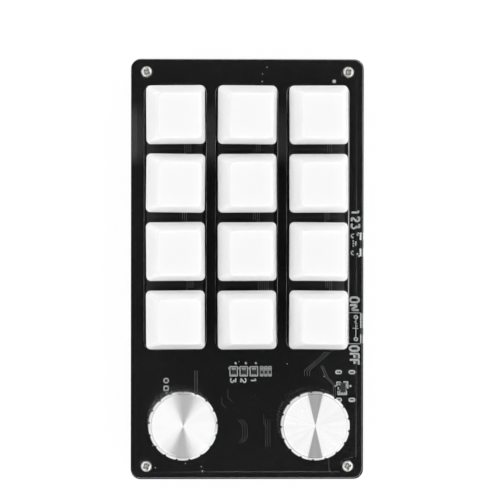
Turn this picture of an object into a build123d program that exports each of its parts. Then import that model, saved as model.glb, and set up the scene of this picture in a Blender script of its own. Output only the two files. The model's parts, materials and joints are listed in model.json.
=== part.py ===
from build123d import *
import math
import os

# A keypad of twelve keys and two push knobs on a circuit board, held between clear plates.
# Sizes are in millimetres. X runs across the keypad, Y along it away from the knobs, Z up.
# The origin is on the desk, under the middle of the outline.

# Key field and the margins round it, which set the case's outline
KEY_COLUMNS = 3
KEY_ROWS = 4
KEY_PITCH_X = 22.1
KEY_PITCH_Y = 21.1
LEFT_MARGIN = 13.7
RIGHT_MARGIN = 14.1
FAR_MARGIN = 17.25
KEYS_TO_KNOBS = 31.95
NEAR_MARGIN = 17.5
CORNER_R = 3.0

# The stack, from the desk up
FOOT_H = 2.0
BASE_T = 2.0
LOWER_FRAME_H = 5.0
BOARD_T = 1.6
UPPER_FRAME_H = 3.0
COVER_T = 5.0

# Frames and board
LOWER_WALL = 2.0
UPPER_WALL = 1.9
BOARD_INSET = 0.2
FRAME_INNER_R = 1.0
PAD_WALL = 1.2

# Case screws, standoffs and feet
SCREW_FROM_SIDE = 4.8
SCREW_FROM_END = 4.0
SCREW_D = 2.0
SCREW_HOLE_PLAY = 0.1
THREAD_PLAY = 0.05
HEAD_D = 3.6
HEAD_H = 1.3
HEAD_CHAMFER = 0.5
RECESS_SPAN = 2.0
RECESS_ARM = 0.55
RECESS_DEPTH = 0.8
TOP_SCREW_LEN = 12.0
BOTTOM_SCREW_LEN = 4.0
STANDOFF_AF = 3.2
STANDOFF_PLAY = 0.12
FOOT_D = 8.0
FOOT_EDGE = 0.5
FOOT_FROM_EDGE = 11.0

# Key switch, heights taken from the board's top face
KEY_TRAVEL = 4.0
HOUSING_W = 14.0
HOUSING_WALL = 1.0
HOUSING_FLOOR = 1.6
FLANGE_W = 15.6
FLANGE_UNDER = 5.0
FLANGE_T = 1.0
SWITCH_H = 11.6
COVER_FOOT_W = 14.2
COVER_CROWN_X = 10.6
COVER_CROWN_Y = 11.4
COVER_WALL = 0.9
COVER_ROOF = 1.2
STEM_HOLE_X = 7.6
STEM_HOLE_Y = 6.0
STEM_PLAY = 0.2
STEM_STOP = 0.4
STEM_STOP_GAP = 0.1
CROSS_SPAN = 4.0
CROSS_ARM = 1.2
CROSS_H = 3.6
CROSS_PLAY = 0.03
CROSS_LEAD = 0.2
CENTRE_POST_D = 3.95
CENTRE_POST_LEN = 3.5
CENTRE_POST_PLAY = 0.08
GUIDE_PIN_D = 2.4
GUIDE_PIN_PLAY = 0.08
GUIDE_PIN_GRIP = 0.6
SPRING_D = 4.4
SPRING_WALL = 0.4
SPRING_SEAT = 5.0
SPRING_POCKET = 3.0

# Contact pins of a switch, from its centre, and the sockets that grip them under the board
PIN_PLACES = ((-3.81, 2.54), (2.54, 5.08))
PIN_W = 1.0
PIN_T = 0.3
PIN_LEN = 3.0
PIN_HOLE_D = 1.5
PIN_SLOT_PLAY = 0.1
SOCKET_LOBE = 4.6
SOCKET_REACH = 1.4
SOCKET_H = 1.8

# Keycap
CAP_BASE = 18.1
CAP_CORNER_R = 1.4
CAP_BAND = 1.0
CAP_TOP_X = 13.5
CAP_TOP_Y = 13.9
CAP_TOP_SHIFT_X = 0.8
CAP_TOP_SHIFT_Y = -0.3
CAP_H = 8.8
CAP_WALL = 1.4
CAP_ROOF = 1.6
CAP_EDGE_R = 0.7
CAP_DISH = 0.4
CAP_OVERLAP = 0.7
CAP_POST_D = 5.5
CAP_POST_GAP = 0.2
SLOT_PLAY = 0.6
SLOT_R = 3.0

# Rotary encoders, heights taken from the board's top face
KNOB_SPACING = 40.4
KNOB_TRAVEL = 0.5
ENCODER_X = 12.5
ENCODER_Y = 13.2
ENCODER_H = 6.5
ENCODER_ROOF = 0.9
ENCODER_FLOOR = 1.0
ROTOR_D = 8.6
ROTOR_H = 1.9
ROTOR_GAP = 0.1
ROTOR_PLAY = 0.2
PLUNGER_D = 3.0
PLUNGER_GAP = 0.1
BUSHING_D = 7.0
BUSHING_H = 5.5
SHAFT_D = 6.0
SHAFT_PLAY = 0.06
SHAFT_H = 20.0
SHAFT_FLAT = 4.5
SHAFT_FLAT_LEN = 7.5
ENCODER_PIN_PITCH = 2.5
ENCODER_PIN_ROW = 7.0
ENCODER_PIN_W = 0.7
ENCODER_PIN_LEN = 2.8
ENCODER_PIN_HOLE_D = 1.2
ENCODER_LUG_W = 2.0
ENCODER_LUG_T = 0.5
ENCODER_LUG_PLAY = 0.2
ENCODER_HOLE_PLAY = 0.4

# Knobs
KNOB_D = 21.2
KNOB_H = 16.5
KNOB_LIFT = 1.5
KNOB_TOP_CHAMFER = 0.9
KNOB_FOOT_CHAMFER = 0.5
KNOB_GROOVES = 17
GROOVE_R = 0.35
GROOVE_DEPTH = 0.45
KNOB_POCKET_D = 15.0
KNOB_POCKET_H = 3.4
BORE_PLAY = 0.05
BORE_SPARE = 0.3
GRUB_D = 3.0
GRUB_LEN = 5.0
GRUB_HEX = 1.5
GRUB_HEX_DEPTH = 2.0
GRUB_ABOVE_FLAT = 4.0
RIGHT_KNOB_TURN = 7.0

# Board parts along the right-hand edge: the socket is placed from the knobs, the slide switch
# from the last row of keys and the layer button from the row before it
USB_FROM_KNOBS = 11.0
USB_W = 8.94
USB_H = 3.26
USB_DEPTH = 7.3
USB_R = 1.2
USB_WALL = 0.3
USB_BACK = 1.2
USB_TONGUE_W = 6.7
USB_TONGUE_T = 0.7
USB_TONGUE_LEN = 4.4
USB_SETBACK = 0.1
USB_LEG_SPAN = 8.65
USB_LEG_SPACING = 4.15
USB_LEG_FROM_MOUTH = 3.0
USB_LEG_L = 1.0
USB_LEG_T = 0.3
USB_LEG_PLAY = 0.2

POWER_FROM_ROW = -2.95
POWER_L = 9.0
POWER_W = 3.6
POWER_H = 3.4
POWER_TRAVEL = 2.0
LEVER_L = 2.0
LEVER_T = 1.4
SHOE_L = 3.0
SHOE_T = 2.2
SHOE_DEPTH = 0.8
LEVER_PLAY = 0.1
POWER_FACE_T = 0.6

LAYER_FROM_ROW = 2.05
LAYER_L = 7.0
LAYER_W = 3.8
LAYER_H = 3.4
LAYER_TRAVEL = 0.3
PLUNGER_L = 2.6
PLUNGER_T = 1.5
PLUNGER_LEN = 2.2
PLUNGER_PLAY = 0.1

SIDE_SWITCH_SETBACK = 0.8
SIDE_ACTUATOR_SETBACK = 0.05
NOTCH_PLAY = 0.3
POWER_EDGE_CUT = 0.35
LAYER_EDGE_CUT = 0.6
EDGE_CUT_PLAY = 0.2

# Battery under the board
BATTERY = (40.0, 26.0, 3.0)
BATTERY_FROM_KNOBS = 2.6
BATTERY_R = 1.2
TAPE_T = 0.3
TAPE_INSET = 3.0
LEAD_D = 1.0
LEAD_BEND_R = 1.5
LEAD_FROM_SIDE = 11.05
LEADS_FROM_KNOBS = (12.7, 10.3)
LEAD_TIP = 0.3
LEAD_PLAY = 0.1

# Small parts soldered to the board: length along X, width along Y, height
CONTROLLER = (7.0, 7.0, 0.9)
CONTROLLER_FROM_USB = (-13.9, 10.6)
DIODE = (2.6, 1.6, 1.1)
DIODE_FROM_KEY = (4.8, -4.6)
STATUS_LED = (1.25, 2.0, 0.8)
STATUS_LED_PITCH = 3.15
STATUS_LEDS_X = -0.8
STATUS_FROM_KNOBS = 15.35
RESISTOR = (0.8, 1.6, 0.45)
RESISTOR_PITCH = 1.27
RESISTORS_X = 6.05
CHARGER = (1.6, 2.9, 1.1)
CHARGER_FROM_USB = (-5.9, -0.5)

# Heights worked out from the stack
Z_BASE = FOOT_H
Z_LOWER = Z_BASE + BASE_T
Z_BOARD = Z_LOWER + LOWER_FRAME_H
Z_BOARD_TOP = Z_BOARD + BOARD_T
Z_COVER = Z_BOARD_TOP + UPPER_FRAME_H
Z_TOP = Z_COVER + COVER_T

# The outline and what is placed from it
WIDTH = LEFT_MARGIN + (KEY_COLUMNS - 1) * KEY_PITCH_X + RIGHT_MARGIN
LENGTH = FAR_MARGIN + (KEY_ROWS - 1) * KEY_PITCH_Y + KEYS_TO_KNOBS + NEAR_MARGIN
RIGHT = WIDTH / 2
KEY_FIELD_X = (LEFT_MARGIN - RIGHT_MARGIN) / 2
LAST_ROW_Y = NEAR_MARGIN + KEYS_TO_KNOBS - LENGTH / 2
KNOB_Y = NEAR_MARGIN - LENGTH / 2
SCREW_X = RIGHT - SCREW_FROM_SIDE
SCREW_Y = LENGTH / 2 - SCREW_FROM_END
USB_Y = KNOB_Y + USB_FROM_KNOBS
POWER_Y = LAST_ROW_Y + POWER_FROM_ROW
LAYER_Y = LAST_ROW_Y + KEY_PITCH_Y + LAYER_FROM_ROW
LEAD_HOLE_X = LEAD_FROM_SIDE - RIGHT
LEAD_HOLE_YS = [KNOB_Y + y for y in LEADS_FROM_KNOBS]
STATUS_Y = KNOB_Y + STATUS_FROM_KNOBS
UP = (Align.CENTER, Align.CENTER, Align.MIN)
DOWN = (Align.CENTER, Align.CENTER, Align.MAX)


def save(shape, node):
    os.makedirs("parts", exist_ok=True)
    export_step(shape, f"parts/{node}.step")


def group(solids):
    """Several separate solids kept as one node."""
    return Compound(children=list(solids))


def column(radius, bottom, top, x=0, y=0):
    """An upright cylinder between two heights."""
    return Pos(x, y, bottom) * Cylinder(radius, top - bottom, align=UP)


def block(size_x, size_y, bottom, top, x=0, y=0):
    """An upright box, centred on x and y, between two heights."""
    return Pos(x, y, bottom) * Box(size_x, size_y, top - bottom, align=UP)


def slab(size_x, size_y, corner_r, bottom, top, x=0, y=0):
    """A plate with rounded corners between two heights."""
    outline = Pos(x, y, bottom) * RectangleRounded(size_x, size_y, corner_r)
    return extrude(outline, top - bottom)


def tapered(lower, upper, bottom, top, shift=(0, 0)):
    """A ruled solid from one rounded rectangle to another, each (x, y, corner radius)."""
    sections = [
        Pos(0, 0, bottom) * RectangleRounded(*lower),
        Pos(*shift, top) * RectangleRounded(*upper),
    ]
    return loft(sections, ruled=True)


def hexagonal(across_flats, bottom, top):
    """An upright hexagonal bar between two heights."""
    outline = Pos(0, 0, bottom) * RegularPolygon(across_flats / 2, 6, major_radius=False)
    return extrude(outline, top - bottom)


def corners(x, y):
    """The four places at plus and minus x and y."""
    return [(sx * x, sy * y) for sx in (-1, 1) for sy in (-1, 1)]


def column_x(col):
    """X of a column of keys, counted from the left."""
    return KEY_FIELD_X + (col - (KEY_COLUMNS - 1) / 2) * KEY_PITCH_X


def key_places():
    """Each key's name and centre, row by row from the far left."""
    for row in range(KEY_ROWS):
        for col in range(KEY_COLUMNS):
            y = LAST_ROW_Y + (KEY_ROWS - 1 - row) * KEY_PITCH_Y
            yield f"r{row + 1}c{col + 1}", column_x(col), y


def knob_places():
    """Each knob's name and centre."""
    return [("left", -KNOB_SPACING / 2, KNOB_Y), ("right", KNOB_SPACING / 2, KNOB_Y)]


def at_keys(solid):
    """A copy of one solid at every key."""
    return [Pos(x, y, 0) * solid for _, x, y in key_places()]


def at_knobs(solid):
    """A copy of one solid at every knob."""
    return [Pos(x, y, 0) * solid for _, x, y in knob_places()]


# Case: clear plates and frames

def screw_holes(bottom, top):
    radius = SCREW_D / 2 + SCREW_HOLE_PLAY
    return [column(radius, bottom, top, x, y) for x, y in corners(SCREW_X, SCREW_Y)]


def frame_ring(wall, pad_hole_r, bottom, top):
    """A frame open in the middle, with a drilled pad in each corner."""
    outer = slab(WIDTH, LENGTH, CORNER_R, bottom, top)
    inner = slab(WIDTH - 2 * wall, LENGTH - 2 * wall, FRAME_INNER_R, bottom, top)
    reach = pad_hole_r + PAD_WALL
    pad_x = RIGHT - SCREW_X + reach
    pad_y = LENGTH / 2 - SCREW_Y + reach
    for sx, sy in corners(1, 1):
        centre_x = sx * (RIGHT - pad_x / 2)
        centre_y = sy * (LENGTH / 2 - pad_y / 2)
        inner -= slab(pad_x, pad_y, FRAME_INNER_R, bottom, top, centre_x, centre_y)
    ring = outer - inner
    for x, y in corners(SCREW_X, SCREW_Y):
        ring -= column(pad_hole_r, bottom, top, x, y)
    return ring


def bottom_plate():
    plate = slab(WIDTH, LENGTH, CORNER_R, Z_BASE, Z_LOWER)
    return plate - screw_holes(Z_BASE, Z_LOWER)


def wall_notch(length, height, y):
    """Room in the lower frame's right-hand wall for a part under the board's edge."""
    depth = height + NOTCH_PLAY
    return block(3 * LOWER_WALL, length + 2 * NOTCH_PLAY, Z_BOARD - depth, Z_BOARD, RIGHT, y)


def standoff_r():
    """Radius over the standoff's corners."""
    return STANDOFF_AF / 2 / math.cos(math.pi / 6)


def lower_frame():
    ring = frame_ring(LOWER_WALL, standoff_r() + STANDOFF_PLAY, Z_LOWER, Z_BOARD)
    ring -= wall_notch(USB_W, USB_H, USB_Y)
    ring -= wall_notch(POWER_L, POWER_H, POWER_Y)
    ring -= wall_notch(LAYER_L, LAYER_H, LAYER_Y)
    return ring


def upper_frame():
    return frame_ring(UPPER_WALL, SCREW_D / 2 + SCREW_HOLE_PLAY, Z_BOARD_TOP, Z_COVER)


def encoder_hole_r():
    """Radius of the round hole in the cover that clears the encoder's corners."""
    return math.hypot(ENCODER_X, ENCODER_Y) / 2 + ENCODER_HOLE_PLAY


def top_cover():
    cover = slab(WIDTH, LENGTH, CORNER_R, Z_COVER, Z_TOP)
    slot_x = CAP_BASE + 2 * SLOT_PLAY
    field_y = (KEY_ROWS - 1) * KEY_PITCH_Y
    for col in range(KEY_COLUMNS):
        place = column_x(col), LAST_ROW_Y + field_y / 2
        cover -= slab(slot_x, slot_x + field_y, SLOT_R, Z_COVER, Z_TOP, *place)
    cover -= at_knobs(column(encoder_hole_r(), Z_COVER, Z_TOP))
    return cover - screw_holes(Z_COVER, Z_TOP)


# Fasteners and feet

def pan_head():
    """A pan head with a cross recess, standing on the plane it clamps."""
    head = Cylinder(HEAD_D / 2, HEAD_H, align=UP)
    head = chamfer(head.edges().sort_by(Axis.Z)[-1], HEAD_CHAMFER)
    recess = Box(RECESS_SPAN, RECESS_ARM, RECESS_DEPTH, align=DOWN)
    recess += Box(RECESS_ARM, RECESS_SPAN, RECESS_DEPTH, align=DOWN)
    return head - Pos(0, 0, HEAD_H) * recess


def case_screw(length):
    """A screw with its shank below the plane z = 0."""
    return pan_head() + Cylinder(SCREW_D / 2, length, align=DOWN)


def top_screws():
    screw = case_screw(TOP_SCREW_LEN)
    return group(Pos(x, y, Z_TOP) * screw for x, y in corners(SCREW_X, SCREW_Y))


def bottom_screws():
    screw = Rot(180, 0, 0) * case_screw(BOTTOM_SCREW_LEN)
    return group(Pos(x, y, Z_BASE) * screw for x, y in corners(SCREW_X, SCREW_Y))


def standoffs():
    post = hexagonal(STANDOFF_AF, Z_LOWER, Z_BOARD)
    post -= column(SCREW_D / 2 + THREAD_PLAY, Z_LOWER, Z_BOARD)
    return group(Pos(x, y, 0) * post for x, y in corners(SCREW_X, SCREW_Y))


def rubber_feet():
    foot = column(FOOT_D / 2, 0, FOOT_H)
    foot = chamfer(foot.edges().sort_by(Axis.Z)[0], FOOT_EDGE)
    x, y = RIGHT - FOOT_FROM_EDGE, LENGTH / 2 - FOOT_FROM_EDGE
    return group(Pos(cx, cy, 0) * foot for cx, cy in corners(x, y))


# Circuit board

def encoder_pins():
    """Where an encoder's five pins stand, from its centre."""
    front = [(i * ENCODER_PIN_PITCH, -ENCODER_PIN_ROW) for i in (-1, 0, 1)]
    back = [(i * ENCODER_PIN_PITCH, ENCODER_PIN_ROW) for i in (-1, 1)]
    return front + back


def usb_legs():
    """Where the four legs of the socket's shell go through the board."""
    front = RIGHT - USB_SETBACK - USB_LEG_FROM_MOUTH
    for x in (front, front - USB_LEG_SPACING):
        for side in (-1, 1):
            yield x, USB_Y + side * USB_LEG_SPAN / 2


def edge_cut(length, depth, y):
    """Where the board's right-hand edge stands back from a side switch's actuator."""
    return block(2 * depth, length + 2 * EDGE_CUT_PLAY, Z_BOARD, Z_BOARD_TOP, RIGHT - BOARD_INSET, y)


def circuit_board():
    size = WIDTH - 2 * BOARD_INSET, LENGTH - 2 * BOARD_INSET
    board = slab(*size, CORNER_R - BOARD_INSET, Z_BOARD, Z_BOARD_TOP)
    board -= edge_cut(POWER_L, POWER_EDGE_CUT, POWER_Y)
    board -= edge_cut(LAYER_L, LAYER_EDGE_CUT, LAYER_Y)
    board -= screw_holes(Z_BOARD, Z_BOARD_TOP)
    holes = [column(CENTRE_POST_D / 2 + CENTRE_POST_PLAY, Z_BOARD, Z_BOARD_TOP)]
    holes += [column(PIN_HOLE_D / 2, Z_BOARD, Z_BOARD_TOP, x, y) for x, y in PIN_PLACES]
    for hole in holes:
        board -= at_keys(hole)
    for x, y in encoder_pins():
        board -= at_knobs(column(ENCODER_PIN_HOLE_D / 2, Z_BOARD, Z_BOARD_TOP, x, y))
    lug_slot = block(ENCODER_LUG_T + 2 * ENCODER_LUG_PLAY, ENCODER_LUG_W + 2 * ENCODER_LUG_PLAY,
                     Z_BOARD, Z_BOARD_TOP)
    for side in (-1, 1):
        board -= at_knobs(Pos(side * lug_x(), 0, 0) * lug_slot)
    leg_size = USB_LEG_L + 2 * USB_LEG_PLAY, USB_LEG_T + 2 * USB_LEG_PLAY
    for x, y in usb_legs():
        slot = Pos(x, y, Z_BOARD) * SlotOverall(*leg_size)
        board -= extrude(slot, BOARD_T)
    for y in LEAD_HOLE_YS:
        board -= column(LEAD_D / 2 + LEAD_PLAY, Z_BOARD, Z_BOARD_TOP, LEAD_HOLE_X, y)
    return board


# Key switches

def housing_base():
    """The switch's lower housing, with the blind centre post that guides the stem."""
    z = Z_BOARD_TOP
    shell = block(HOUSING_W, HOUSING_W, z, z + FLANGE_UNDER)
    shell += block(FLANGE_W, FLANGE_W, z + FLANGE_UNDER, z + FLANGE_UNDER + FLANGE_T)
    inside = HOUSING_W - 2 * HOUSING_WALL
    shell -= block(inside, inside, z + HOUSING_FLOOR, z + FLANGE_UNDER + FLANGE_T)
    shell += column(CENTRE_POST_D / 2, z - CENTRE_POST_LEN, z)
    bore_r = GUIDE_PIN_D / 2 + GUIDE_PIN_PLAY
    return shell - column(bore_r, guide_pin_end() - KEY_TRAVEL - STEM_STOP_GAP, z + HOUSING_FLOOR)


def housing_cover():
    """The switch's upper housing, which the stem slides through."""
    bottom = Z_BOARD_TOP + FLANGE_UNDER + FLANGE_T
    top = Z_BOARD_TOP + SWITCH_H
    foot = COVER_FOOT_W, COVER_FOOT_W, HOUSING_WALL
    crown = COVER_CROWN_X, COVER_CROWN_Y, HOUSING_WALL
    shell = tapered(foot, crown, bottom, top)
    inner_foot = [COVER_FOOT_W - 2 * COVER_WALL] * 2 + [HOUSING_WALL / 2]
    inner_crown = COVER_CROWN_X - 2 * COVER_WALL, COVER_CROWN_Y - 2 * COVER_WALL, HOUSING_WALL / 2
    shell -= tapered(inner_foot, inner_crown, bottom, top - COVER_ROOF)
    return shell - block(STEM_HOLE_X, STEM_HOLE_Y, bottom, top)


def stem_foot():
    """Height of the stem's underside at rest, a key's travel above the housing floor."""
    return Z_BOARD_TOP + HOUSING_FLOOR + KEY_TRAVEL + STEM_STOP_GAP


def guide_pin_end():
    """Height of the guide pin's lower end at rest."""
    return Z_BOARD_TOP + HOUSING_FLOOR - GUIDE_PIN_GRIP


def cross_top():
    return Z_BOARD_TOP + SWITCH_H + CROSS_H


def key_stem():
    """The sliding stem: a guided block with a stop, a guide pin and the cross for the cap."""
    top = Z_BOARD_TOP + SWITCH_H
    width_x, width_y = STEM_HOLE_X - 2 * STEM_PLAY, STEM_HOLE_Y - 2 * STEM_PLAY
    stem = block(width_x, width_y, stem_foot(), top)
    stop_top = top - COVER_ROOF - STEM_STOP_GAP
    stem += block(STEM_HOLE_X + 2 * STEM_STOP, width_y - STEM_PLAY, stem_foot(), stop_top)
    ceiling = stem_foot() + SPRING_POCKET
    stem -= block(SPRING_SEAT, SPRING_SEAT, stem_foot(), ceiling)
    stem += column(GUIDE_PIN_D / 2, guide_pin_end(), ceiling)
    cross = block(CROSS_SPAN, CROSS_ARM, top, cross_top())
    cross += block(CROSS_ARM, CROSS_SPAN, top, cross_top())
    return stem + chamfer(cross.edges().group_by(Axis.Z)[-1], CROSS_LEAD)


def key_spring():
    """The return spring, as a sleeve of its size at rest."""
    bottom, top = Z_BOARD_TOP + HOUSING_FLOOR, stem_foot() + SPRING_POCKET
    outside = Pos(0, 0, bottom) * RegularPolygon(SPRING_D / 2, 8)
    inside = Pos(0, 0, bottom) * RegularPolygon(SPRING_D / 2 - SPRING_WALL, 8)
    return extrude(outside - inside, top - bottom)


def contact_pins():
    """The two flat pins of one switch, hanging from its base."""
    bottom = Z_BOARD_TOP - PIN_LEN
    return [block(PIN_W, PIN_T, bottom, Z_BOARD_TOP, x, y) for x, y in PIN_PLACES]


def pin_socket():
    """The socket under the board: two lobes round the pins, joined, with a slot for each pin."""
    bottom, top = Z_BOARD - SOCKET_H, Z_BOARD
    (x1, y1), (x2, y2) = PIN_PLACES
    body = block(SOCKET_LOBE, SOCKET_LOBE, bottom, top, x1 - SOCKET_REACH, y1)
    body += block(SOCKET_LOBE, SOCKET_LOBE, bottom, top, x2 + SOCKET_REACH, y2)
    body += block(x2 - x1, SOCKET_LOBE - (y2 - y1), bottom, top, (x1 + x2) / 2, (y1 + y2) / 2)
    slot_x, slot_y = PIN_W + 2 * PIN_SLOT_PLAY, PIN_T + 2 * PIN_SLOT_PLAY
    for x, y in PIN_PLACES:
        body -= block(slot_x, slot_y, bottom, top, x, y)
    return body


# Keycaps

def cap_skirt():
    """Height of the cap's open edge."""
    return Z_BOARD_TOP + SWITCH_H - CAP_OVERLAP


def keycap():
    """A hollow cap with leaning sides, a dished top and a post that grips the stem's cross."""
    bottom, top = cap_skirt(), cap_skirt() + CAP_H
    shift = CAP_TOP_SHIFT_X, CAP_TOP_SHIFT_Y
    base = CAP_BASE, CAP_BASE, CAP_CORNER_R
    body = slab(*base, bottom, bottom + CAP_BAND)
    body += tapered(base, (CAP_TOP_X, CAP_TOP_Y, CAP_CORNER_R), bottom + CAP_BAND, top, shift)
    dish_r = (CAP_TOP_Y / 2) ** 2 / (2 * CAP_DISH) + CAP_DISH / 2
    dish_axis = Pos(0, CAP_TOP_SHIFT_Y, top - CAP_DISH + dish_r) * Rot(0, 90, 0)
    body -= dish_axis * Cylinder(dish_r, 2 * CAP_BASE)
    rim = body.edges().filter_by(lambda edge: edge.center().Z > top - 1.5 * CAP_DISH)
    body = fillet(rim, CAP_EDGE_R)
    inner_foot = [CAP_BASE - 2 * CAP_WALL] * 2 + [CAP_CORNER_R / 2]
    inner_top = CAP_TOP_X - 2 * CAP_WALL, CAP_TOP_Y - 2 * CAP_WALL, CAP_CORNER_R / 2
    ceiling = top - CAP_DISH - CAP_ROOF
    body -= tapered(inner_foot, inner_top, bottom, ceiling, shift)
    post_foot = Z_BOARD_TOP + SWITCH_H + CAP_POST_GAP
    body += column(CAP_POST_D / 2, post_foot, ceiling)
    span, arm = CROSS_SPAN + 2 * CROSS_PLAY, CROSS_ARM + 2 * CROSS_PLAY
    body -= block(span, arm, post_foot, cross_top())
    return body - block(arm, span, post_foot, cross_top())


# Rotary encoders and knobs

def lug_x():
    """How far the encoder's two holding lugs stand from its centre."""
    return ENCODER_X / 2 + ENCODER_LUG_T / 2


def rotor_top():
    return Z_BOARD_TOP + ENCODER_H - ENCODER_ROOF - ROTOR_GAP


def encoder_body():
    """A closed box with room for the rotor, five pins and two holding lugs."""
    z = Z_BOARD_TOP
    body = block(ENCODER_X, ENCODER_Y, z, z + ENCODER_H)
    body -= column(ROTOR_D / 2 + ROTOR_PLAY, z + ENCODER_FLOOR, z + ENCODER_H - ENCODER_ROOF)
    body -= column(SHAFT_D / 2 + SHAFT_PLAY, z + ENCODER_FLOOR, z + ENCODER_H)
    pin_end = z - ENCODER_PIN_LEN
    for x, y in encoder_pins():
        pin = block(ENCODER_PIN_W, ENCODER_PIN_W, pin_end, z + ENCODER_FLOOR, x, y)
        shelf_y = math.copysign((ENCODER_Y / 2 + ENCODER_PIN_ROW) / 2, y)
        shelf_l = ENCODER_PIN_ROW - ENCODER_Y / 2 + ENCODER_PIN_W
        pin += block(ENCODER_PIN_W, shelf_l, z, z + ENCODER_FLOOR, x, shelf_y)
        body += pin
    for side in (-1, 1):
        body += block(ENCODER_LUG_T, ENCODER_LUG_W, pin_end, z + ENCODER_H, side * lug_x(), 0)
    return body


def encoder_bushing():
    bottom = Z_BOARD_TOP + ENCODER_H
    sleeve = column(BUSHING_D / 2, bottom, bottom + BUSHING_H)
    return sleeve - column(SHAFT_D / 2 + SHAFT_PLAY, bottom, bottom + BUSHING_H)


def encoder_shaft():
    """The rotor inside the body and the shaft above it, with a flat for the knob."""
    top = Z_BOARD_TOP + SHAFT_H
    shaft = column(ROTOR_D / 2, rotor_top() - ROTOR_H, rotor_top())
    shaft += column(SHAFT_D / 2, rotor_top(), top)
    return shaft - flat_cut(top - SHAFT_FLAT_LEN, top)


def flat_cut(bottom, top):
    """What the flat removes from the shaft, on its +Y side."""
    return Pos(0, SHAFT_FLAT - SHAFT_D / 2, bottom) * Box(
        SHAFT_D, SHAFT_D, top - bottom, align=(Align.CENTER, Align.MIN, Align.MIN)
    )


def encoder_plunger():
    """The pin under the rotor that presses the push switch."""
    top = rotor_top() - ROTOR_H
    bottom = Z_BOARD_TOP + ENCODER_FLOOR + KNOB_TRAVEL + PLUNGER_GAP
    return column(PLUNGER_D / 2, bottom, top)


def grub_height():
    """Height of the grub screw's axis, on the shaft's flat."""
    return Z_BOARD_TOP + SHAFT_H - SHAFT_FLAT_LEN + GRUB_ABOVE_FLAT


def turned_knob():
    """The turned blank of the knob, with the pocket that covers the bushing."""
    radius = KNOB_D / 2
    profile = Polyline(
        (KNOB_POCKET_D / 2, 0),
        (radius - KNOB_FOOT_CHAMFER, 0),
        (radius, KNOB_FOOT_CHAMFER),
        (radius, KNOB_H - KNOB_TOP_CHAMFER),
        (radius - KNOB_TOP_CHAMFER, KNOB_H),
        (0, KNOB_H),
        (0, KNOB_POCKET_H),
        (KNOB_POCKET_D / 2, KNOB_POCKET_H),
        close=True,
    )
    return revolve(Plane.XZ * make_face(profile), Axis.Z)


def knob():
    """A solid metal knob with straight grooves round its side and a D-shaped bore."""
    foot = Z_TOP + KNOB_LIFT
    body = Pos(0, 0, foot) * turned_knob()
    reach = KNOB_D / 2 + GROOVE_R - GROOVE_DEPTH
    groove = column(GROOVE_R, foot, foot + KNOB_H, 0, reach)
    body -= [Rot(0, 0, i * 360 / KNOB_GROOVES) * groove for i in range(KNOB_GROOVES)]
    bore_top = Z_BOARD_TOP + SHAFT_H + BORE_SPARE
    bore = column(SHAFT_D / 2 + BORE_PLAY, foot, bore_top)
    flat_from = Z_BOARD_TOP + SHAFT_H - SHAFT_FLAT_LEN + KNOB_TRAVEL
    bore -= Pos(0, BORE_PLAY, 0) * flat_cut(flat_from, bore_top)
    body -= bore
    hole = Cylinder(GRUB_D / 2 + THREAD_PLAY, KNOB_D / 2, align=UP)
    return body - Pos(0, 0, grub_height()) * Rot(-90, 0, 0) * hole


def knob_grub_screw():
    """The set screw that bears on the shaft's flat, with a hexagonal socket outwards."""
    screw = Cylinder(GRUB_D / 2, GRUB_LEN, align=UP)
    screw -= hexagonal(GRUB_HEX, GRUB_LEN - GRUB_HEX_DEPTH, GRUB_LEN)
    return Pos(0, SHAFT_FLAT - SHAFT_D / 2, grub_height()) * Rot(-90, 0, 0) * screw


# Parts along the right-hand edge, under the board

def rounded_bar(width, height, corner_r, back, front, y, z):
    """A bar along X with a rounded section."""
    section = Plane(origin=(back, y, z), x_dir=(0, 1, 0), z_dir=(1, 0, 0))
    return extrude(section * RectangleRounded(width, height, corner_r), front - back)


def usb_shell():
    mouth = RIGHT - USB_SETBACK
    z = Z_BOARD - USB_H / 2
    shell = rounded_bar(USB_W, USB_H, USB_R, mouth - USB_DEPTH, mouth, USB_Y, z)
    inside = USB_W - 2 * USB_WALL, USB_H - 2 * USB_WALL, USB_R - USB_WALL
    shell -= rounded_bar(*inside, mouth - USB_DEPTH + USB_WALL, mouth, USB_Y, z)
    for x, y in usb_legs():
        shell += block(USB_LEG_L, USB_LEG_T, z, Z_BOARD_TOP, x, y)
    return shell


def usb_tongue():
    """The insulating block at the back of the socket, with the contact tongue in front."""
    mouth = RIGHT - USB_SETBACK
    back = mouth - USB_DEPTH + USB_WALL
    z = Z_BOARD - USB_H / 2
    inside = USB_W - 2 * USB_WALL, USB_H - 2 * USB_WALL, USB_R - USB_WALL
    body = rounded_bar(*inside, back, back + USB_BACK, USB_Y, z)
    tongue = Pos(back + USB_BACK, USB_Y, z) * Box(
        USB_TONGUE_LEN, USB_TONGUE_W, USB_TONGUE_T, align=(Align.MIN, Align.CENTER, Align.CENTER)
    )
    return body + tongue


def side_bar(length, height, back, front, y, z):
    """A box along X between two faces, centred on y and z."""
    return Pos(back, y, z) * Box(
        front - back, length, height, align=(Align.MIN, Align.CENTER, Align.CENTER)
    )


def side_switch_face():
    """X of the face that the side switches' actuators come out of."""
    return RIGHT - SIDE_SWITCH_SETBACK


def actuator_tip():
    return RIGHT - SIDE_ACTUATOR_SETBACK


def lever_rest_y():
    """The lever stands at the near end of its slot at rest."""
    return POWER_Y - POWER_TRAVEL / 2


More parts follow.
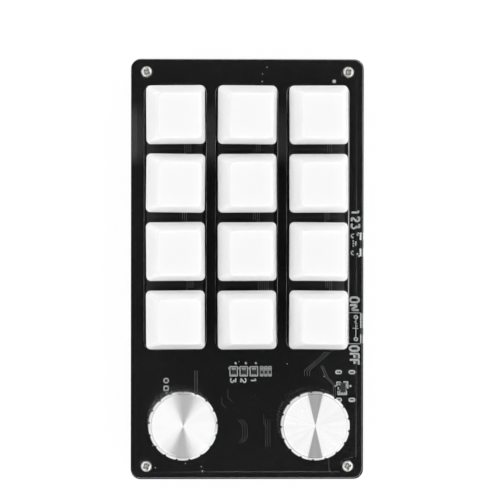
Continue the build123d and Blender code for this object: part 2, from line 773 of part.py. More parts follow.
def power_switch_body():
    face, z = side_switch_face(), Z_BOARD - POWER_H / 2
    body = side_bar(POWER_L, POWER_H, face - POWER_W, face, POWER_Y, z)
    slot_l = LEVER_L + POWER_TRAVEL + 2 * LEVER_PLAY
    body -= side_bar(slot_l, LEVER_T + 2 * LEVER_PLAY, face - POWER_FACE_T, face, POWER_Y, z)
    room_l = SHOE_L + POWER_TRAVEL + 2 * LEVER_PLAY
    room_back = face - POWER_FACE_T - SHOE_DEPTH - 2 * LEVER_PLAY
    room = side_bar(room_l, SHOE_T + 2 * LEVER_PLAY, room_back, face - POWER_FACE_T, POWER_Y, z)
    return body - room


def power_switch_lever():
    """The slide lever and the wider shoe that keeps it in the body."""
    z, y = Z_BOARD - POWER_H / 2, lever_rest_y()
    shoe_front = side_switch_face() - POWER_FACE_T - LEVER_PLAY
    lever = side_bar(LEVER_L, LEVER_T, shoe_front, actuator_tip(), y, z)
    return lever + side_bar(SHOE_L, SHOE_T, shoe_front - SHOE_DEPTH, shoe_front, y, z)


def layer_button_body():
    face, z = side_switch_face(), Z_BOARD - LAYER_H / 2
    body = side_bar(LAYER_L, LAYER_H, face - LAYER_W, face, LAYER_Y, z)
    room_back = actuator_tip() - PLUNGER_LEN - LAYER_TRAVEL - PLUNGER_PLAY
    size = PLUNGER_L + 2 * PLUNGER_PLAY, PLUNGER_T + 2 * PLUNGER_PLAY
    return body - side_bar(*size, room_back, face, LAYER_Y, z)


def layer_button_plunger():
    z = Z_BOARD - LAYER_H / 2
    tip = actuator_tip()
    return side_bar(PLUNGER_L, PLUNGER_T, tip - PLUNGER_LEN, tip, LAYER_Y, z)


# Battery and small parts

def battery_y():
    return KNOB_Y + BATTERY_FROM_KNOBS


def battery():
    """A flat pouch cell on its pad of tape."""
    length, width, height = BATTERY
    bottom = Z_LOWER + TAPE_T
    return slab(length, width, BATTERY_R, bottom, bottom + height, 0, battery_y())


def battery_tape():
    length, width, _ = BATTERY
    inner = length - 2 * TAPE_INSET, width - 2 * TAPE_INSET
    return block(*inner, Z_LOWER, Z_LOWER + TAPE_T, 0, battery_y())


def battery_leads():
    """Two round leads from the cell's left side, up through the board."""
    side = -BATTERY[0] / 2
    z = Z_LOWER + TAPE_T + BATTERY[2] / 2
    leads = []
    for y in LEAD_HOLE_YS:
        route = FilletPolyline(
            (side, y, z), (LEAD_HOLE_X, y, z), (LEAD_HOLE_X, y, Z_BOARD_TOP + LEAD_TIP),
            radius=LEAD_BEND_R,
        )
        start = Plane(origin=(side, y, z), z_dir=(-1, 0, 0))
        leads.append(sweep(start * Circle(LEAD_D / 2), path=route))
    return group(leads)


def on_board(size, x, y):
    return block(size[0], size[1], Z_BOARD_TOP, Z_BOARD_TOP + size[2], x, y)


def under_board(size, x, y):
    return block(size[0], size[1], Z_BOARD - size[2], Z_BOARD, x, y)


def beside_usb(offset):
    return RIGHT + offset[0], USB_Y + offset[1]


def board_chips():
    """The controller under the board and the battery charger on top of it."""
    controller = under_board(CONTROLLER, *beside_usb(CONTROLLER_FROM_USB))
    return group([controller, on_board(CHARGER, *beside_usb(CHARGER_FROM_USB))])


def three_across(size, pitch, x):
    """Three parts side by side on the board, one for each status light."""
    return [on_board(size, x + i * pitch, STATUS_Y) for i in (-1, 0, 1)]


def status_leds():
    return group(three_across(STATUS_LED, STATUS_LED_PITCH, STATUS_LEDS_X))


def board_passives():
    """A diode under the board beside each key, and a resistor for each status light."""
    dx, dy = DIODE_FROM_KEY
    parts = [under_board(DIODE, x + dx, y + dy) for _, x, y in key_places()]
    return group(parts + three_across(RESISTOR, RESISTOR_PITCH, RESISTORS_X))


# Every node

save(bottom_plate(), "bottom_plate")
save(lower_frame(), "lower_frame")
save(upper_frame(), "upper_frame")
save(top_cover(), "top_cover")
save(circuit_board(), "circuit_board")
save(top_screws(), "top_screws")
save(bottom_screws(), "bottom_screws")
save(standoffs(), "standoffs")
save(rubber_feet(), "rubber_feet")

save(group(at_keys(housing_base())), "switch_bases")
save(group(at_keys(housing_cover())), "switch_covers")
save(group(at_keys(key_spring())), "key_springs")
save(group(p for pin in contact_pins() for p in at_keys(pin)), "switch_pins")
save(group(at_keys(pin_socket())), "switch_sockets")

stem, cap = key_stem(), keycap()
for name, x, y in key_places():
    save(Pos(x, y, 0) * stem, f"key_stem_{name}")
    save(Pos(x, y, 0) * cap, f"keycap_{name}")

save(group(at_knobs(encoder_body())), "encoder_bodies")
save(group(at_knobs(encoder_bushing())), "encoder_bushings")
moving = {
    "encoder_plunger": encoder_plunger(),
    "encoder_shaft": encoder_shaft(),
    "knob": knob(),
    "knob_grub_screw": knob_grub_screw(),
}
turns = {"left": 0, "right": RIGHT_KNOB_TURN}
for side, x, y in knob_places():
    for piece, solid in moving.items():
        save(Pos(x, y, 0) * Rot(0, 0, turns[side]) * solid, f"{piece}_{side}")

save(usb_shell(), "usb_shell")
save(usb_tongue(), "usb_tongue")
save(power_switch_body(), "power_switch_body")
save(power_switch_lever(), "power_switch_lever")
save(layer_button_body(), "layer_button_body")
save(layer_button_plunger(), "layer_button_plunger")

save(battery(), "battery")
save(battery_tape(), "battery_tape")
save(battery_leads(), "battery_leads")
save(board_chips(), "board_chips")
save(status_leds(), "status_leds")
save(board_passives(), "board_passives")
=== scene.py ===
import json
import math
import random

import bmesh
import bpy
from mathutils import Matrix, Vector


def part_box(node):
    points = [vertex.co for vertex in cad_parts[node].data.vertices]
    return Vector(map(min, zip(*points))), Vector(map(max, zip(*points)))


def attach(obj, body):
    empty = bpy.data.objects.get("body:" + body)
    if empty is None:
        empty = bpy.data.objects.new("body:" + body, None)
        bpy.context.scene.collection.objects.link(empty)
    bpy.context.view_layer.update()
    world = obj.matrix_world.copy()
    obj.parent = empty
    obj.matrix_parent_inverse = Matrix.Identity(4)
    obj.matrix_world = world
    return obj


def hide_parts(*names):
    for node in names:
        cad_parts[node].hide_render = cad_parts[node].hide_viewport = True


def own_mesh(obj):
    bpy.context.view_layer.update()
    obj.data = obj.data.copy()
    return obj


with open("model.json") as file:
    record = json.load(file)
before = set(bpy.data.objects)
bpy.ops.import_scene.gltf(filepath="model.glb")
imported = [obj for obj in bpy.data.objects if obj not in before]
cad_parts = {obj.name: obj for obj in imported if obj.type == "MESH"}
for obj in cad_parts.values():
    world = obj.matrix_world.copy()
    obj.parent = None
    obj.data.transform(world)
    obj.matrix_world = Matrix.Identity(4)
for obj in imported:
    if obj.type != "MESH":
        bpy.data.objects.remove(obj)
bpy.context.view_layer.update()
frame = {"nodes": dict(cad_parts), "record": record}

MM = 0.001
CASE = "case"
KEYS = [f"r{row}c{col}" for row in (1, 2, 3, 4) for col in (1, 2, 3)]


def low(node):
    """A node's lowest corner, in millimetres."""
    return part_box(node)[0] / MM


def high(node):
    """A node's highest corner, in millimetres."""
    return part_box(node)[1] / MM


def middle(node):
    """The middle of a node's box, in millimetres."""
    return (low(node) + high(node)) / 2


BOARD_TOP = high("circuit_board").z
BOARD_FOOT = low("circuit_board").z
COVER_TOP = high("top_cover").z
RESISTORS = (4.78, 6.05, 7.32)
RIGHT_EDGE = high("top_cover").x
FAR_EDGE = high("top_cover").y
LIGHTS = middle("status_leds")
LEAD_X = low("battery_leads").x + 0.5
PORT_Y, POWER_Y, BUTTON_Y = [middle(node).y for node in (
    "usb_shell", "power_switch_body", "layer_button_body")]


# Materials

class Amount:
    """A value that varies over a surface. A sum on it adds its Math nodes."""

    def __init__(self, finish, socket):
        self.finish, self.socket = finish, socket

    def __add__(self, other):
        return self.finish.math("ADD", self, other)

    def __sub__(self, other):
        return self.finish.math("SUBTRACT", self, other)

    def __rsub__(self, other):
        return self.finish.math("SUBTRACT", other, self)

    def __mul__(self, other):
        return self.finish.math("MULTIPLY", self, other)

    def __truediv__(self, other):
        return self.finish.math("DIVIDE", self, other)

    def __abs__(self):
        return self.finish.math("ABSOLUTE", self)

    def __gt__(self, other):
        return self.finish.math("GREATER_THAN", self, other)

    def __lt__(self, other):
        return self.finish.math("LESS_THAN", self, other)

    __radd__ = __add__


class Finish:
    """A node tree under construction, for a material or the world."""

    def __init__(self, tree):
        self.tree = tree
        self.tree.nodes.clear()

    def node(self, kind, settings=None, inputs=None, out=0):
        """A node of one type: its settings come first, then its sockets' values or links."""
        made = self.tree.nodes.new("ShaderNode" + kind)
        for name, value in (settings or {}).items():
            if name == "stops":
                self.stops(made.color_ramp.elements, value)
            else:
                setattr(made, name, value)
        for name, value in (inputs or {}).items():
            if isinstance(value, Amount):
                self.tree.links.new(value.socket, made.inputs[name])
            else:
                made.inputs[name].default_value = value
        return Amount(self, made.outputs[out]) if made.outputs else None

    @staticmethod
    def stops(elements, places):
        """Sets a ramp's elements from (place, grey value) pairs."""
        while len(elements) < len(places):
            elements.new(1.0)
        for element, (place, value) in zip(elements, places):
            element.position = place
            element.color = (value, value, value, 1)

    def math(self, operation, a, b=0.0):
        return self.node("Math", {"operation": operation}, {0: a, 1: b})

    def vector(self, operation, a, b=(0, 0, 0), out=0):
        return self.node("VectorMath", {"operation": operation}, {0: a, 1: b}, out)

    def scaled(self, vector, amount):
        return self.node("VectorMath", {"operation": "SCALE"}, {0: vector, "Scale": amount})

    def parts(self, vector):
        split = self.node("SeparateXYZ", None, {0: vector}).socket.node
        return [Amount(self, socket) for socket in split.outputs]

    def ramp(self, amount, *places):
        """A grey value that follows an amount through some (amount, value) stops."""
        return self.node("ValToRGB", {"stops": places}, {"Fac": amount})

    def blend(self, amount, a, b):
        """From colour a, where the amount is 0, to colour b, where it is 1."""
        return self.node("Mix", {"data_type": "RGBA"}, {0: amount, 6: a, 7: b}, 2)

    def mixed(self, amount, first, second):
        """From the first shader, where the amount is 0, to the second, where it is 1."""
        return self.node("MixShader", None, {0: amount, 1: first, 2: second})

    def object_place(self):
        return self.node("TexCoord", None, None, "Object")

    def noise(self, scale, detail=3.0, vector=None):
        inputs = {"Vector": vector or self.object_place(), "Scale": scale, "Detail": detail}
        return self.node("TexNoise", None, inputs)

    def bump(self, height, distance):
        return self.node("Bump", None, {"Height": height, "Distance": distance, "Strength": 1.0})


def surface(name, color, rough, metal=0.0, **more):
    """A material with one Principled shader. Other sockets' names are given in lower case."""
    material = bpy.data.materials.new(name)
    material.use_nodes = True
    finish = Finish(material.node_tree)
    inputs = {"Base Color": (*color, 1), "Roughness": rough, "Metallic": metal}
    for socket, value in more.items():
        inputs[socket.replace("_", " ").title().replace("Ior", "IOR")] = value
    finish.skin = finish.node("BsdfPrincipled", None, inputs)
    finish.out = finish.tree.nodes.new("ShaderNodeOutputMaterial")
    finish.tree.links.new(finish.skin.socket, finish.out.inputs["Surface"])
    finish.material = material
    return finish


def feed(finish, **sockets):
    """Links varying values to the Principled shader."""
    skin = finish.skin.socket.node
    for name, value in sockets.items():
        finish.tree.links.new(value.socket, skin.inputs[name.replace("_", " ").title()])
    return finish.material


def grained(name, color, rough, grain=1500.0, depth=0.00001, spread=0.12, metal=0.0):
    """Moulded or cast stuff: fine grain in the surface, and colour and gloss that vary a little."""
    finish = surface(name, color, rough, metal)
    fine = finish.noise(grain)
    broad = finish.noise(grain / 40, 2.0)
    lighter = [min(1, c * (1 + spread)) for c in color]
    darker = [c * (1 - spread) for c in color]
    tint = finish.blend(broad, (*darker, 1), (*lighter, 1))
    gloss = rough + (broad - 0.5) * 0.2
    return feed(finish, base_color=tint, roughness=gloss, normal=finish.bump(fine, depth))


def clear_acrylic(name, frost):
    """Polished clear sheet that lets lamps through, with its slots' sides frosted so much."""
    clear_edge, sideways_from, let_through = 0.8 * MM, 0.7, 0.6
    finish = surface(name, (0.99, 0.995, 0.995), 0.0, transmission_weight=1.0, ior=1.49)
    smear = finish.noise(60.0, 2.0)
    feed(finish, roughness=(smear > 0.62) * 0.02)
    sideways = finish.parts(finish.node("NewGeometry", None, None, "Normal"))[0]
    across, along, _ = finish.parts(finish.object_place())
    inside = ((abs(across) < RIGHT_EDGE * MM - clear_edge)
              * (abs(along) < FAR_EDGE * MM - clear_edge))
    cut_side = (abs(sideways) > sideways_from) * inside
    upright = finish.vector("MULTIPLY", finish.object_place(), (2500, 2500, 40))
    saw_marks = finish.noise(1.0, 3.0, upright)
    pale = {"Color": (0.95, 0.96, 0.96, 1)}
    frosted = finish.mixed(let_through, finish.node("BsdfDiffuse", None, pale),
                           finish.node("BsdfTranslucent", None, pale))
    body = finish.mixed(cut_side * (0.6 + saw_marks * 0.8) * frost, finish.skin, frosted)
    path = finish.node("LightPath", None, None, "Is Shadow Ray")
    open_air = finish.node("BsdfTransparent", None, {"Color": (0.96, 0.965, 0.965, 1)})
    both = finish.mixed(path, body, open_air)
    finish.tree.links.new(both.socket, finish.out.inputs["Surface"])
    return finish.material


def board_black():
    """Glossy black mask with the copper's faint relief under it."""
    finish = surface("board_black", (0.006, 0.006, 0.007), 0.2, specular_ior_level=0.32)
    cells = finish.node("TexVoronoi", {"feature": "DISTANCE_TO_EDGE"},
                        {"Vector": finish.object_place(), "Scale": 170.0}, "Distance")
    dust = finish.noise(900.0)
    tint = finish.blend(dust, (0.005, 0.005, 0.0055, 1), (0.01, 0.01, 0.0105, 1))
    relief = finish.ramp(cells, (0.0, 1.0), (0.06, 0.0))
    return feed(finish, base_color=tint, roughness=0.15 + dust * 0.12,
                normal=finish.bump(relief, 0.00002))


def cap_white():
    """Satin white plastic with a very fine moulded texture, painted paler on its steep sides and
    darker on its ridge and top, for light and shade.
    """
    finish = surface("cap_white", (0.96, 0.96, 0.955), 0.42, specular_ior_level=0.06,
                     sheen_weight=0.1, sheen_roughness=0.5,
                     subsurface_weight=1.0, subsurface_radius=(1.0, 1.0, 1.0),
                     subsurface_scale=0.0015)
    fine = finish.noise(2600.0, 2.0)
    broad = finish.noise(90.0, 2.0)
    up = finish.parts(finish.node("NewGeometry", None, None, "Normal"))[2]
    # painted light and shade: the colour follows how far a face turns up, paler on the sides,
    # darker on ridge and top
    painted_slope_light = finish.ramp(up, (0.44, 0.975), (0.6, 0.8), (0.93, 0.81), (0.99, 0.84))
    tint = finish.blend(broad * 0.06, painted_slope_light, (1.0, 1.0, 0.99, 1))
    return feed(finish, base_color=tint, roughness=0.36 + fine * 0.12,
                normal=finish.bump(fine, 0.000008))


def spun_aluminium(name, centre, blur, skew, squeeze, ray_depth):
    """Aluminium faced on a lathe: every turned ring falls both ways from its crest."""
    bright = (0.9, 0.9, 0.905)
    finish = surface(name, bright, blur, 1.0)
    ring_pitch, least_lean, more_lean, side_lean = 0.06 * MM, 0.19, 0.17, 0.16
    face_from = 0.97
    place = finish.vector("SUBTRACT", finish.object_place(), tuple(centre))
    flat = finish.vector("MULTIPLY", place, (1, 1, 0))
    radius = finish.vector("LENGTH", flat, out="Value")
    outwards = finish.vector("NORMALIZE", flat)
    around = finish.vector("CROSS_PRODUCT", (0, 0, 1), outwards)
    up = finish.parts(place)[2]
    across_ring = finish.math("FRACT", radius / ring_pitch) - 0.5
    along_turn = finish.math("FRACT", up / ring_pitch) - 0.5
    lean = finish.math("SIGN", across_ring) * least_lean + across_ring * (2 * more_lean)
    normal = finish.node("NewGeometry", None, None, "Normal")
    facing_up = finish.parts(normal)[2] > face_from
    spread = finish.vector("ADD", outwards, finish.scaled(around, skew))
    cut = finish.vector("NORMALIZE", finish.vector("MULTIPLY", spread, (squeeze, 1, 1)))
    world_cut = finish.node("VectorTransform", {"vector_type": "NORMAL", "convert_from": "OBJECT",
                                                "convert_to": "WORLD"}, {0: cut})
    leaning = finish.scaled(world_cut, lean * facing_up)
    rocking = finish.scaled((0, 0, 1), along_turn * (1 - facing_up) * side_lean)
    bent = finish.vector("ADD", finish.vector("ADD", normal, leaning), rocking)
    # painted reflection: radial streaks darken the metal's colour, for the streaks that its
    # reflection shows
    rays = finish.noise(1.0, 3.0, finish.scaled(outwards, 5.0))
    ray = finish.ramp(rays, (0.38, 0.0), (0.62, 1.0))
    painted_streak = tuple(c * (1 - ray_depth) for c in bright)
    tint = finish.blend(ray, (*painted_streak, 1), (*bright, 1))
    scratch = finish.noise(500.0, 2.0)
    return feed(finish, base_color=tint, normal=finish.vector("NORMALIZE", bent),
                roughness=blur + scratch * 0.03)


def brushed(name, color, rough, scale=(40, 900, 40), metal=1.0):
    """Metal with a fine drawn grain along one axis, with painted shade where its mesh marks a
    recess.
    """
    finish = surface(name, color, rough, metal)
    stretched = finish.vector("MULTIPLY", finish.object_place(), tuple(scale))
    grain = finish.noise(1.0, 4.0, stretched)
    darker = [c * 0.82 for c in color]
    unshaded = finish.blend(grain, (*darker, 1), (*color, 1))
    grime = finish.node("Attribute", {"attribute_name": "grime"}, None, "Fac")
    # painted shade: marked recesses turn dark
    tint = finish.blend(grime * 0.75, unshaded, (0.1, 0.085, 0.07, 1))
    return feed(finish, base_color=tint, roughness=rough + (grain - 0.5) * 0.15,
                normal=finish.bump(grain, 0.000006))


def two_tone(name, second_where, first, second, rough, metal=0.0, grain=1500.0, depth=0.000006):
    """Moulded stuff with a second colour where a test of x, y and z holds.

    rough is the least roughness and how much the grain adds.
    """
    finish = surface(name, first, rough[0], metal)
    there = second_where(*finish.parts(finish.object_place()))
    tint = finish.blend(there, (*first, 1), (*second, 1))
    fine = finish.noise(grain)
    return feed(finish, base_color=tint, roughness=rough[0] + fine * rough[1],
                normal=finish.bump(fine, depth))


def above_the_board(_x, _y, z):
    """Where the port's shell has become legs, in the board's holes, painted dark as shade."""
    return z > 9.0 * MM


def red_lead(_x, y, z):
    """The lead nearer the keys, below the solder in its hole."""
    return (y > -36.0 * MM) * (z < 8.8 * MM)


def light_ends(_x, y, _z):
    """The tinned ends of the small lights."""
    return abs(y - LIGHTS.y * MM) > 0.62 * MM


def resistor_ends(x, y, z):
    """The tinned ends of the three small parts beside the lights."""
    off_row = abs(y - LIGHTS.y * MM)
    beside = abs(x - RESISTORS[1] * MM) < 2.2 * MM
    return beside * (z > BOARD_TOP * MM) * (off_row > 0.48 * MM) * (off_row < 1.0 * MM)


INK = grained("white_ink", (0.96, 0.965, 0.965), 0.55, 3000.0, 0.000004, 0.03)
TIN = brushed("tinned_copper", (0.85, 0.85, 0.84), 0.5, (300, 300, 300), 0.25)
TRACE = grained("buried_copper", (0.24, 0.243, 0.246), 0.35, 2000.0, 0.000004)
# faint copper tracks, and the painted light in the gaps between rows
FAINT_COPPER_AND_GAP_LIGHT = grained("faint_copper_and_gap_light", (0.046, 0.046, 0.048), 0.25, 900.0, 0.000004, 0.4)

# Colour, roughness and the drawn grain's scale
METALS = {
    "screw_steel": ((0.78, 0.77, 0.74), 0.24, (500, 500, 500)),
    "standoff_brass": ((0.83, 0.63, 0.3), 0.28, (300, 300, 60)),
    "spring_steel": ((0.7, 0.7, 0.68), 0.25, (60, 60, 1500)),
    "contact_metal": ((0.8, 0.72, 0.5), 0.3),
    "encoder_metal": ((0.66, 0.65, 0.62), 0.3, (60, 60, 900)),
    "knob_aluminium": ((0.9, 0.9, 0.905), 0.25),
    "switch_shell": ((0.62, 0.62, 0.61), 0.3, (900, 60, 900)),
    "battery_foil": ((0.72, 0.72, 0.73), 0.32, (200, 200, 200)),
}
# Colour, roughness, the grain's scale and depth, and the spread of the colour and metal
MOULDINGS = {
    "foot_rubber": ((0.03, 0.03, 0.032), 0.75, 1500.0, 0.00003),
    "switch_black": ((0.018, 0.018, 0.02), 0.45, 1800.0, 0.00001),
    "stem_plastic": ((0.42, 0.05, 0.04), 0.4, 1800.0, 0.000008),
    "encoder_plastic": ((0.035, 0.035, 0.04), 0.5),
    "plunger_plastic": ((0.8, 0.78, 0.72), 0.4, 1500.0, 0.000008),
    "port_black": ((0.025, 0.025, 0.026), 0.45, 1500.0, 0.000008),
    "grub_black": ((0.05, 0.05, 0.052), 0.4, 1500.0, 0.00001, 0.12, 0.7),
    "lever_plastic": ((0.05, 0.05, 0.052), 0.5),
    "tape": ((0.85, 0.83, 0.75), 0.8, 900.0, 0.00003),
}
# Where the second colour is, the two colours, and the least and added roughness
TWO_TONES = {
    # port_steel: painted shade on the legs in the board's holes
    "port_steel": (above_the_board, (0.66, 0.66, 0.65), (0.04, 0.04, 0.04), (0.205, 0.15), 1.0),
    "lead_insulation": (red_lead, (0.015, 0.015, 0.015), (0.4, 0.03, 0.02), (0.35, 0.1)),
    "chip_black": (resistor_ends, (0.03, 0.03, 0.032), (0.6, 0.6, 0.59), (0.45, 0.1), 0.0,
                   2500.0, 0.000008),
    "led_lens": (light_ends, (0.03, 0.03, 0.028), (0.5, 0.5, 0.49), (0.2, 0.2)),
}
SLOT_FINISHES = {
    "clear_acrylic": clear_acrylic("clear_acrylic", 0.0),
    "board_black": board_black(),
    "cap_white": cap_white(),
    **{name: brushed(name, *look) for name, look in METALS.items()},
    **{name: grained(name, *look) for name, look in MOULDINGS.items()},
    **{name: two_tone(name, *look) for name, look in TWO_TONES.items()},
}
CAP, STEEL = SLOT_FINISHES["cap_white"], SLOT_FINISHES["screw_steel"]


def dress_nodes():
    """Gives every CAD node the finish of its slot."""
    for part in frame["record"]["subparts"]:
        finish = SLOT_FINISHES[part["material_slot"]]
        for slot in frame["nodes"][part["node"]].material_slots:
            slot.material = finish


# Meshes

def linked(name, data):
    """A new object in the scene."""
    made = bpy.data.objects.new(name, data)
    bpy.context.scene.collection.objects.link(made)
    return made


def piece(name, mesh, finish, body, slot, *nodes):
    """An object for a mesh in metres that rides on a body and may stand for some nodes."""
    mesh.materials.clear()
    mesh.materials.append(finish)
    made = linked(name, mesh)
    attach(made, body)
    if nodes:
        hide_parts(*nodes)
    return made


def finished(bm, name, smooth=30, outwards=True):
    """A mesh in metres from one in millimetres, shaded smooth up to an angle in degrees."""
    if outwards:
        bmesh.ops.recalc_face_normals(bm, faces=bm.faces)
    bmesh.ops.scale(bm, vec=(MM, MM, MM), verts=bm.verts)
    bm.normal_update()
    for face in bm.faces:
        face.smooth = True
    for edge in bm.edges:
        if len(edge.link_faces) == 2:
            edge.smooth = edge.calc_face_angle(0) < math.radians(smooth)
    mesh = bpy.data.meshes.new(name)
    bm.to_mesh(mesh)
    bm.free()
    return mesh


def rings_to_faces(bm, rings, close_start=False):
    """Joins rings of as many points each with quads; one point in place of a ring closes an end."""
    loops = [[bm.verts.new(point) for point in ring] for ring in rings]
    for lower, upper in zip(loops, loops[1:]):
        count = max(len(lower), len(upper))
        for i in range(count):
            j = (i + 1) % count
            corners = [loop[n % len(loop)] for loop, n in (
                (lower, i), (lower, j), (upper, j), (upper, i))]
            bm.faces.new(list(dict.fromkeys(corners)))
    if close_start:
        bm.faces.new(loops[0][::-1])
    return loops


def band(name, outlines):
    """A closed band whose section has its corners on the outlines."""
    bm = bmesh.new()
    rings_to_faces(bm, outlines + outlines[:1])
    bmesh.ops.remove_doubles(bm, verts=bm.verts, dist=1e-5)
    return finished(bm, name)


def on_circle(x, y, radius, angle, z):
    return Vector((x + radius * math.cos(angle), y + radius * math.sin(angle), z))


def circle(radius, z, count, start=0.0):
    step = 2 * math.pi / count
    return [on_circle(0, 0, radius, start + i * step, z) for i in range(count)]


def rounded(half_x, half_y, radius, z, x=0.0, y=0.0):
    """A rounded rectangle, anticlockwise from its right-hand side, with points along the sides."""
    arc, edge = 8, 8
    points = []
    centres = [(x + sx * (half_x - radius), y + sy * (half_y - radius))
               for sx, sy in ((1, 1), (-1, 1), (-1, -1), (1, -1))]
    for quarter, (cx, cy) in enumerate(centres):
        start = quarter * math.pi / 2
        for i in range(arc + 1):
            points.append(on_circle(cx, cy, radius, start + i * math.pi / 2 / arc, z))
        here = points[-1]
        there = on_circle(*centres[(quarter + 1) % 4], radius, start + math.pi / 2, z)
        points += [here.lerp(there, i / edge) for i in range(1, edge)]
    return points


# Geometry Nodes

def tree_with(name, sockets):
    """A geometry tree with the named inputs, each (name, socket type, default)."""
    tree = bpy.data.node_groups.new(name, "GeometryNodeTree")
    for way in ("INPUT", "OUTPUT"):
        tree.interface.new_socket("Geometry", in_out=way, socket_type="NodeSocketGeometry")
    for label, kind, default in sockets:
        socket = tree.interface.new_socket(label, in_out="INPUT", socket_type="NodeSocket" + kind)
        if default is not None:
            socket.default_value = default
    return tree, tree.nodes.new("NodeGroupInput").outputs, tree.nodes.new("NodeGroupOutput")


def geo(tree, kind, inputs, settings=None):
    """The outputs of a new geometry node."""
    made = tree.nodes.new("GeometryNode" + kind)
    for name, value in (settings or {}).items():
        setattr(made, name, value)
    for name, value in inputs.items():
        if isinstance(value, bpy.types.NodeSocket):
            tree.links.new(value, made.inputs[name])
        else:
            made.inputs[name].default_value = value
    return made.outputs


def ended(tree, geometry, given, result):
    """The tree with its end on: what it made becomes real and takes its finish."""
    real = geo(tree, "RealizeInstances", {"Geometry": geometry})
    coated = geo(tree, "SetMaterial", {"Geometry": real["Geometry"], "Material": given["Finish"]})
    tree.links.new(coated["Geometry"], result.inputs[0])
    return tree


def copies_tree():
    """One thing at every point, turned as the point's attribute says."""
    tree, given, result = tree_with("copies", [
        ("Thing", "Object", None), ("Finish", "Material", None), ("Size", "Float", 1.0)])
    thing = geo(tree, "ObjectInfo", {"Object": given["Thing"]})
    turn = geo(tree, "InputNamedAttribute", {"Name": "turn"}, {"data_type": "FLOAT_VECTOR"})
    placed = geo(tree, "InstanceOnPoints", {
        "Points": given["Geometry"], "Instance": thing["Geometry"],
        "Rotation": turn["Attribute"], "Scale": given["Size"]})
    return ended(tree, placed["Instances"], given, result)


def lines_tree():
    """Flat lines of ink or copper along edges, with rounded corners."""
    tree, given, result = tree_with("lines", [
        ("Width", "Float", 0.0003), ("Height", "Float", 0.00004), ("Corner", "Float", 0.0003),
        ("Finish", "Material", None)])
    path = geo(tree, "MeshToCurve", {"Mesh": given["Geometry"]})
    eased = geo(tree, "FilletCurve", {"Curve": path["Curve"], "Count": 4,
                                      "Radius": given["Corner"], "Limit Radius": True},
                {"mode": "POLY"})
    level = geo(tree, "SetCurveNormal", {"Curve": eased["Curve"]}, {"mode": "Z_UP"})
    section = geo(tree, "CurvePrimitiveQuadrilateral",
                  {"Width": given["Width"], "Height": given["Height"]})
    swept = geo(tree, "CurveToMesh", {"Curve": level["Curve"], "Profile Curve": section["Curve"],
                                      "Fill Caps": True})
    return ended(tree, swept["Mesh"], given, result)


def coil_tree():
    """A coil of round wire that stands on z = 0."""
    tree, given, result = tree_with("coil", [
        ("Turns", "Float", 6.0), ("Radius", "Float", 0.0018), ("Wire", "Float", 0.0002),
        ("Length", "Float", 0.007), ("Finish", "Material", None)])
    path = geo(tree, "CurveSpiral", {
        "Resolution": 20, "Rotations": given["Turns"], "Height": given["Length"],
        "Start Radius": given["Radius"], "End Radius": given["Radius"]})
    section = geo(tree, "CurvePrimitiveCircle", {"Resolution": 8, "Radius": given["Wire"]})
    swept = geo(tree, "CurveToMesh", {"Curve": path["Curve"], "Profile Curve": section["Curve"],
                                      "Fill Caps": True})
    return ended(tree, swept["Mesh"], given, result)


COPIES, LINES, COIL = copies_tree(), lines_tree(), coil_tree()


def grown(name, source, tree, values):
    """The plain mesh that a geometry tree makes of a mesh, with values for its named inputs."""
    holder = linked("holder", source)
    modifier = holder.modifiers.new("tree", "NODES")
    modifier.node_group = tree
    for item in tree.interface.items_tree:
        if item.item_type == "SOCKET" and item.in_out == "INPUT" and item.name in values:
            modifier[item.identifier] = values[item.name]
    bpy.context.view_layer.update()
    seen = holder.evaluated_get(bpy.context.evaluated_depsgraph_get())
    mesh = bpy.data.meshes.new_from_object(seen)
    mesh.name = name
    bpy.data.objects.remove(holder)
    return mesh


def repeated(name, thing_mesh, places, finish):
    """A mesh with one thing at each place.

    A place is x, y, z in millimetres, a turn about z in degrees and perhaps one about x in radians.
    """
    thing = bpy.data.objects.new("thing", thing_mesh)
    points = bpy.data.meshes.new("points")
    points.from_pydata([Vector(p[:3]) * MM for p in places], [], [])
    turns = points.attributes.new("turn", "FLOAT_VECTOR", "POINT")
    turns.data.foreach_set("vector", [
        v for p in places for v in (p[4] if len(p) > 4 else 0, 0, math.radians(p[3]))])
    return grown(name, points, COPIES, {"Thing": thing, "Finish": finish})


def lines(name, paths, width, finish, z, height=0.04, corner=0.3):
    """A mesh of flat lines along paths of x, y points in millimetres."""
    points, edges = [], []
    for path in paths:
        start = len(points)
        points += [Vector((x, y, z + height / 2)) * MM for x, y in path]
        edges += [(start + i, start + i + 1) for i in range(len(path) - 1)]
        if path[0] == path[-1]:
            points.pop()
            edges[-1] = (len(points) - 1, start)
    source = bpy.data.meshes.new("paths")
    source.from_pydata(points, edges, [])
    return grown(name, source, LINES, {"Width": width * MM, "Height": height * MM,
                                       "Corner": corner * MM, "Finish": finish})


def joined(name, meshes):
    """Several meshes as one."""
    bm = bmesh.new()
    for mesh in meshes:
        bm.from_mesh(mesh)
    made = bpy.data.meshes.new(name)
    bm.to_mesh(made)
    bm.free()
    return made


# Keycaps

CAP_SHIFT = Vector((0.98, -0.3, 0))
CAP_BAND, CAP_DISH, CAP_WALL, CAP_ROOF = 1.0, 0.4, 1.4, 1.6
CAP_ROUND = 0.45
CAP_BASE_R, CAP_TOP_R = 1.4, 1.35
CAP_LEDGE = 0.16
CAP_TOP = (6.57, 6.95)
RIDGE_DIP = 0.75
POST_R, POST_LEN, POST_EASE = 2.75, 3.9, 0.2
SOCKET_REACH, SOCKET_HALF, SOCKET_DEPTH = 2.03, 0.63, 3.6


def socket_cross(z):
    """The twelve corners of the socket for a stem, anticlockwise."""
    reach, half, points = SOCKET_REACH, SOCKET_HALF, []
    corners = [(reach, -half), (reach, half), (half, half)]
    for _ in range(4):
        points += [Vector((x, y, z)) for x, y in corners]
        corners = [(-y, x) for x, y in corners]
    return points


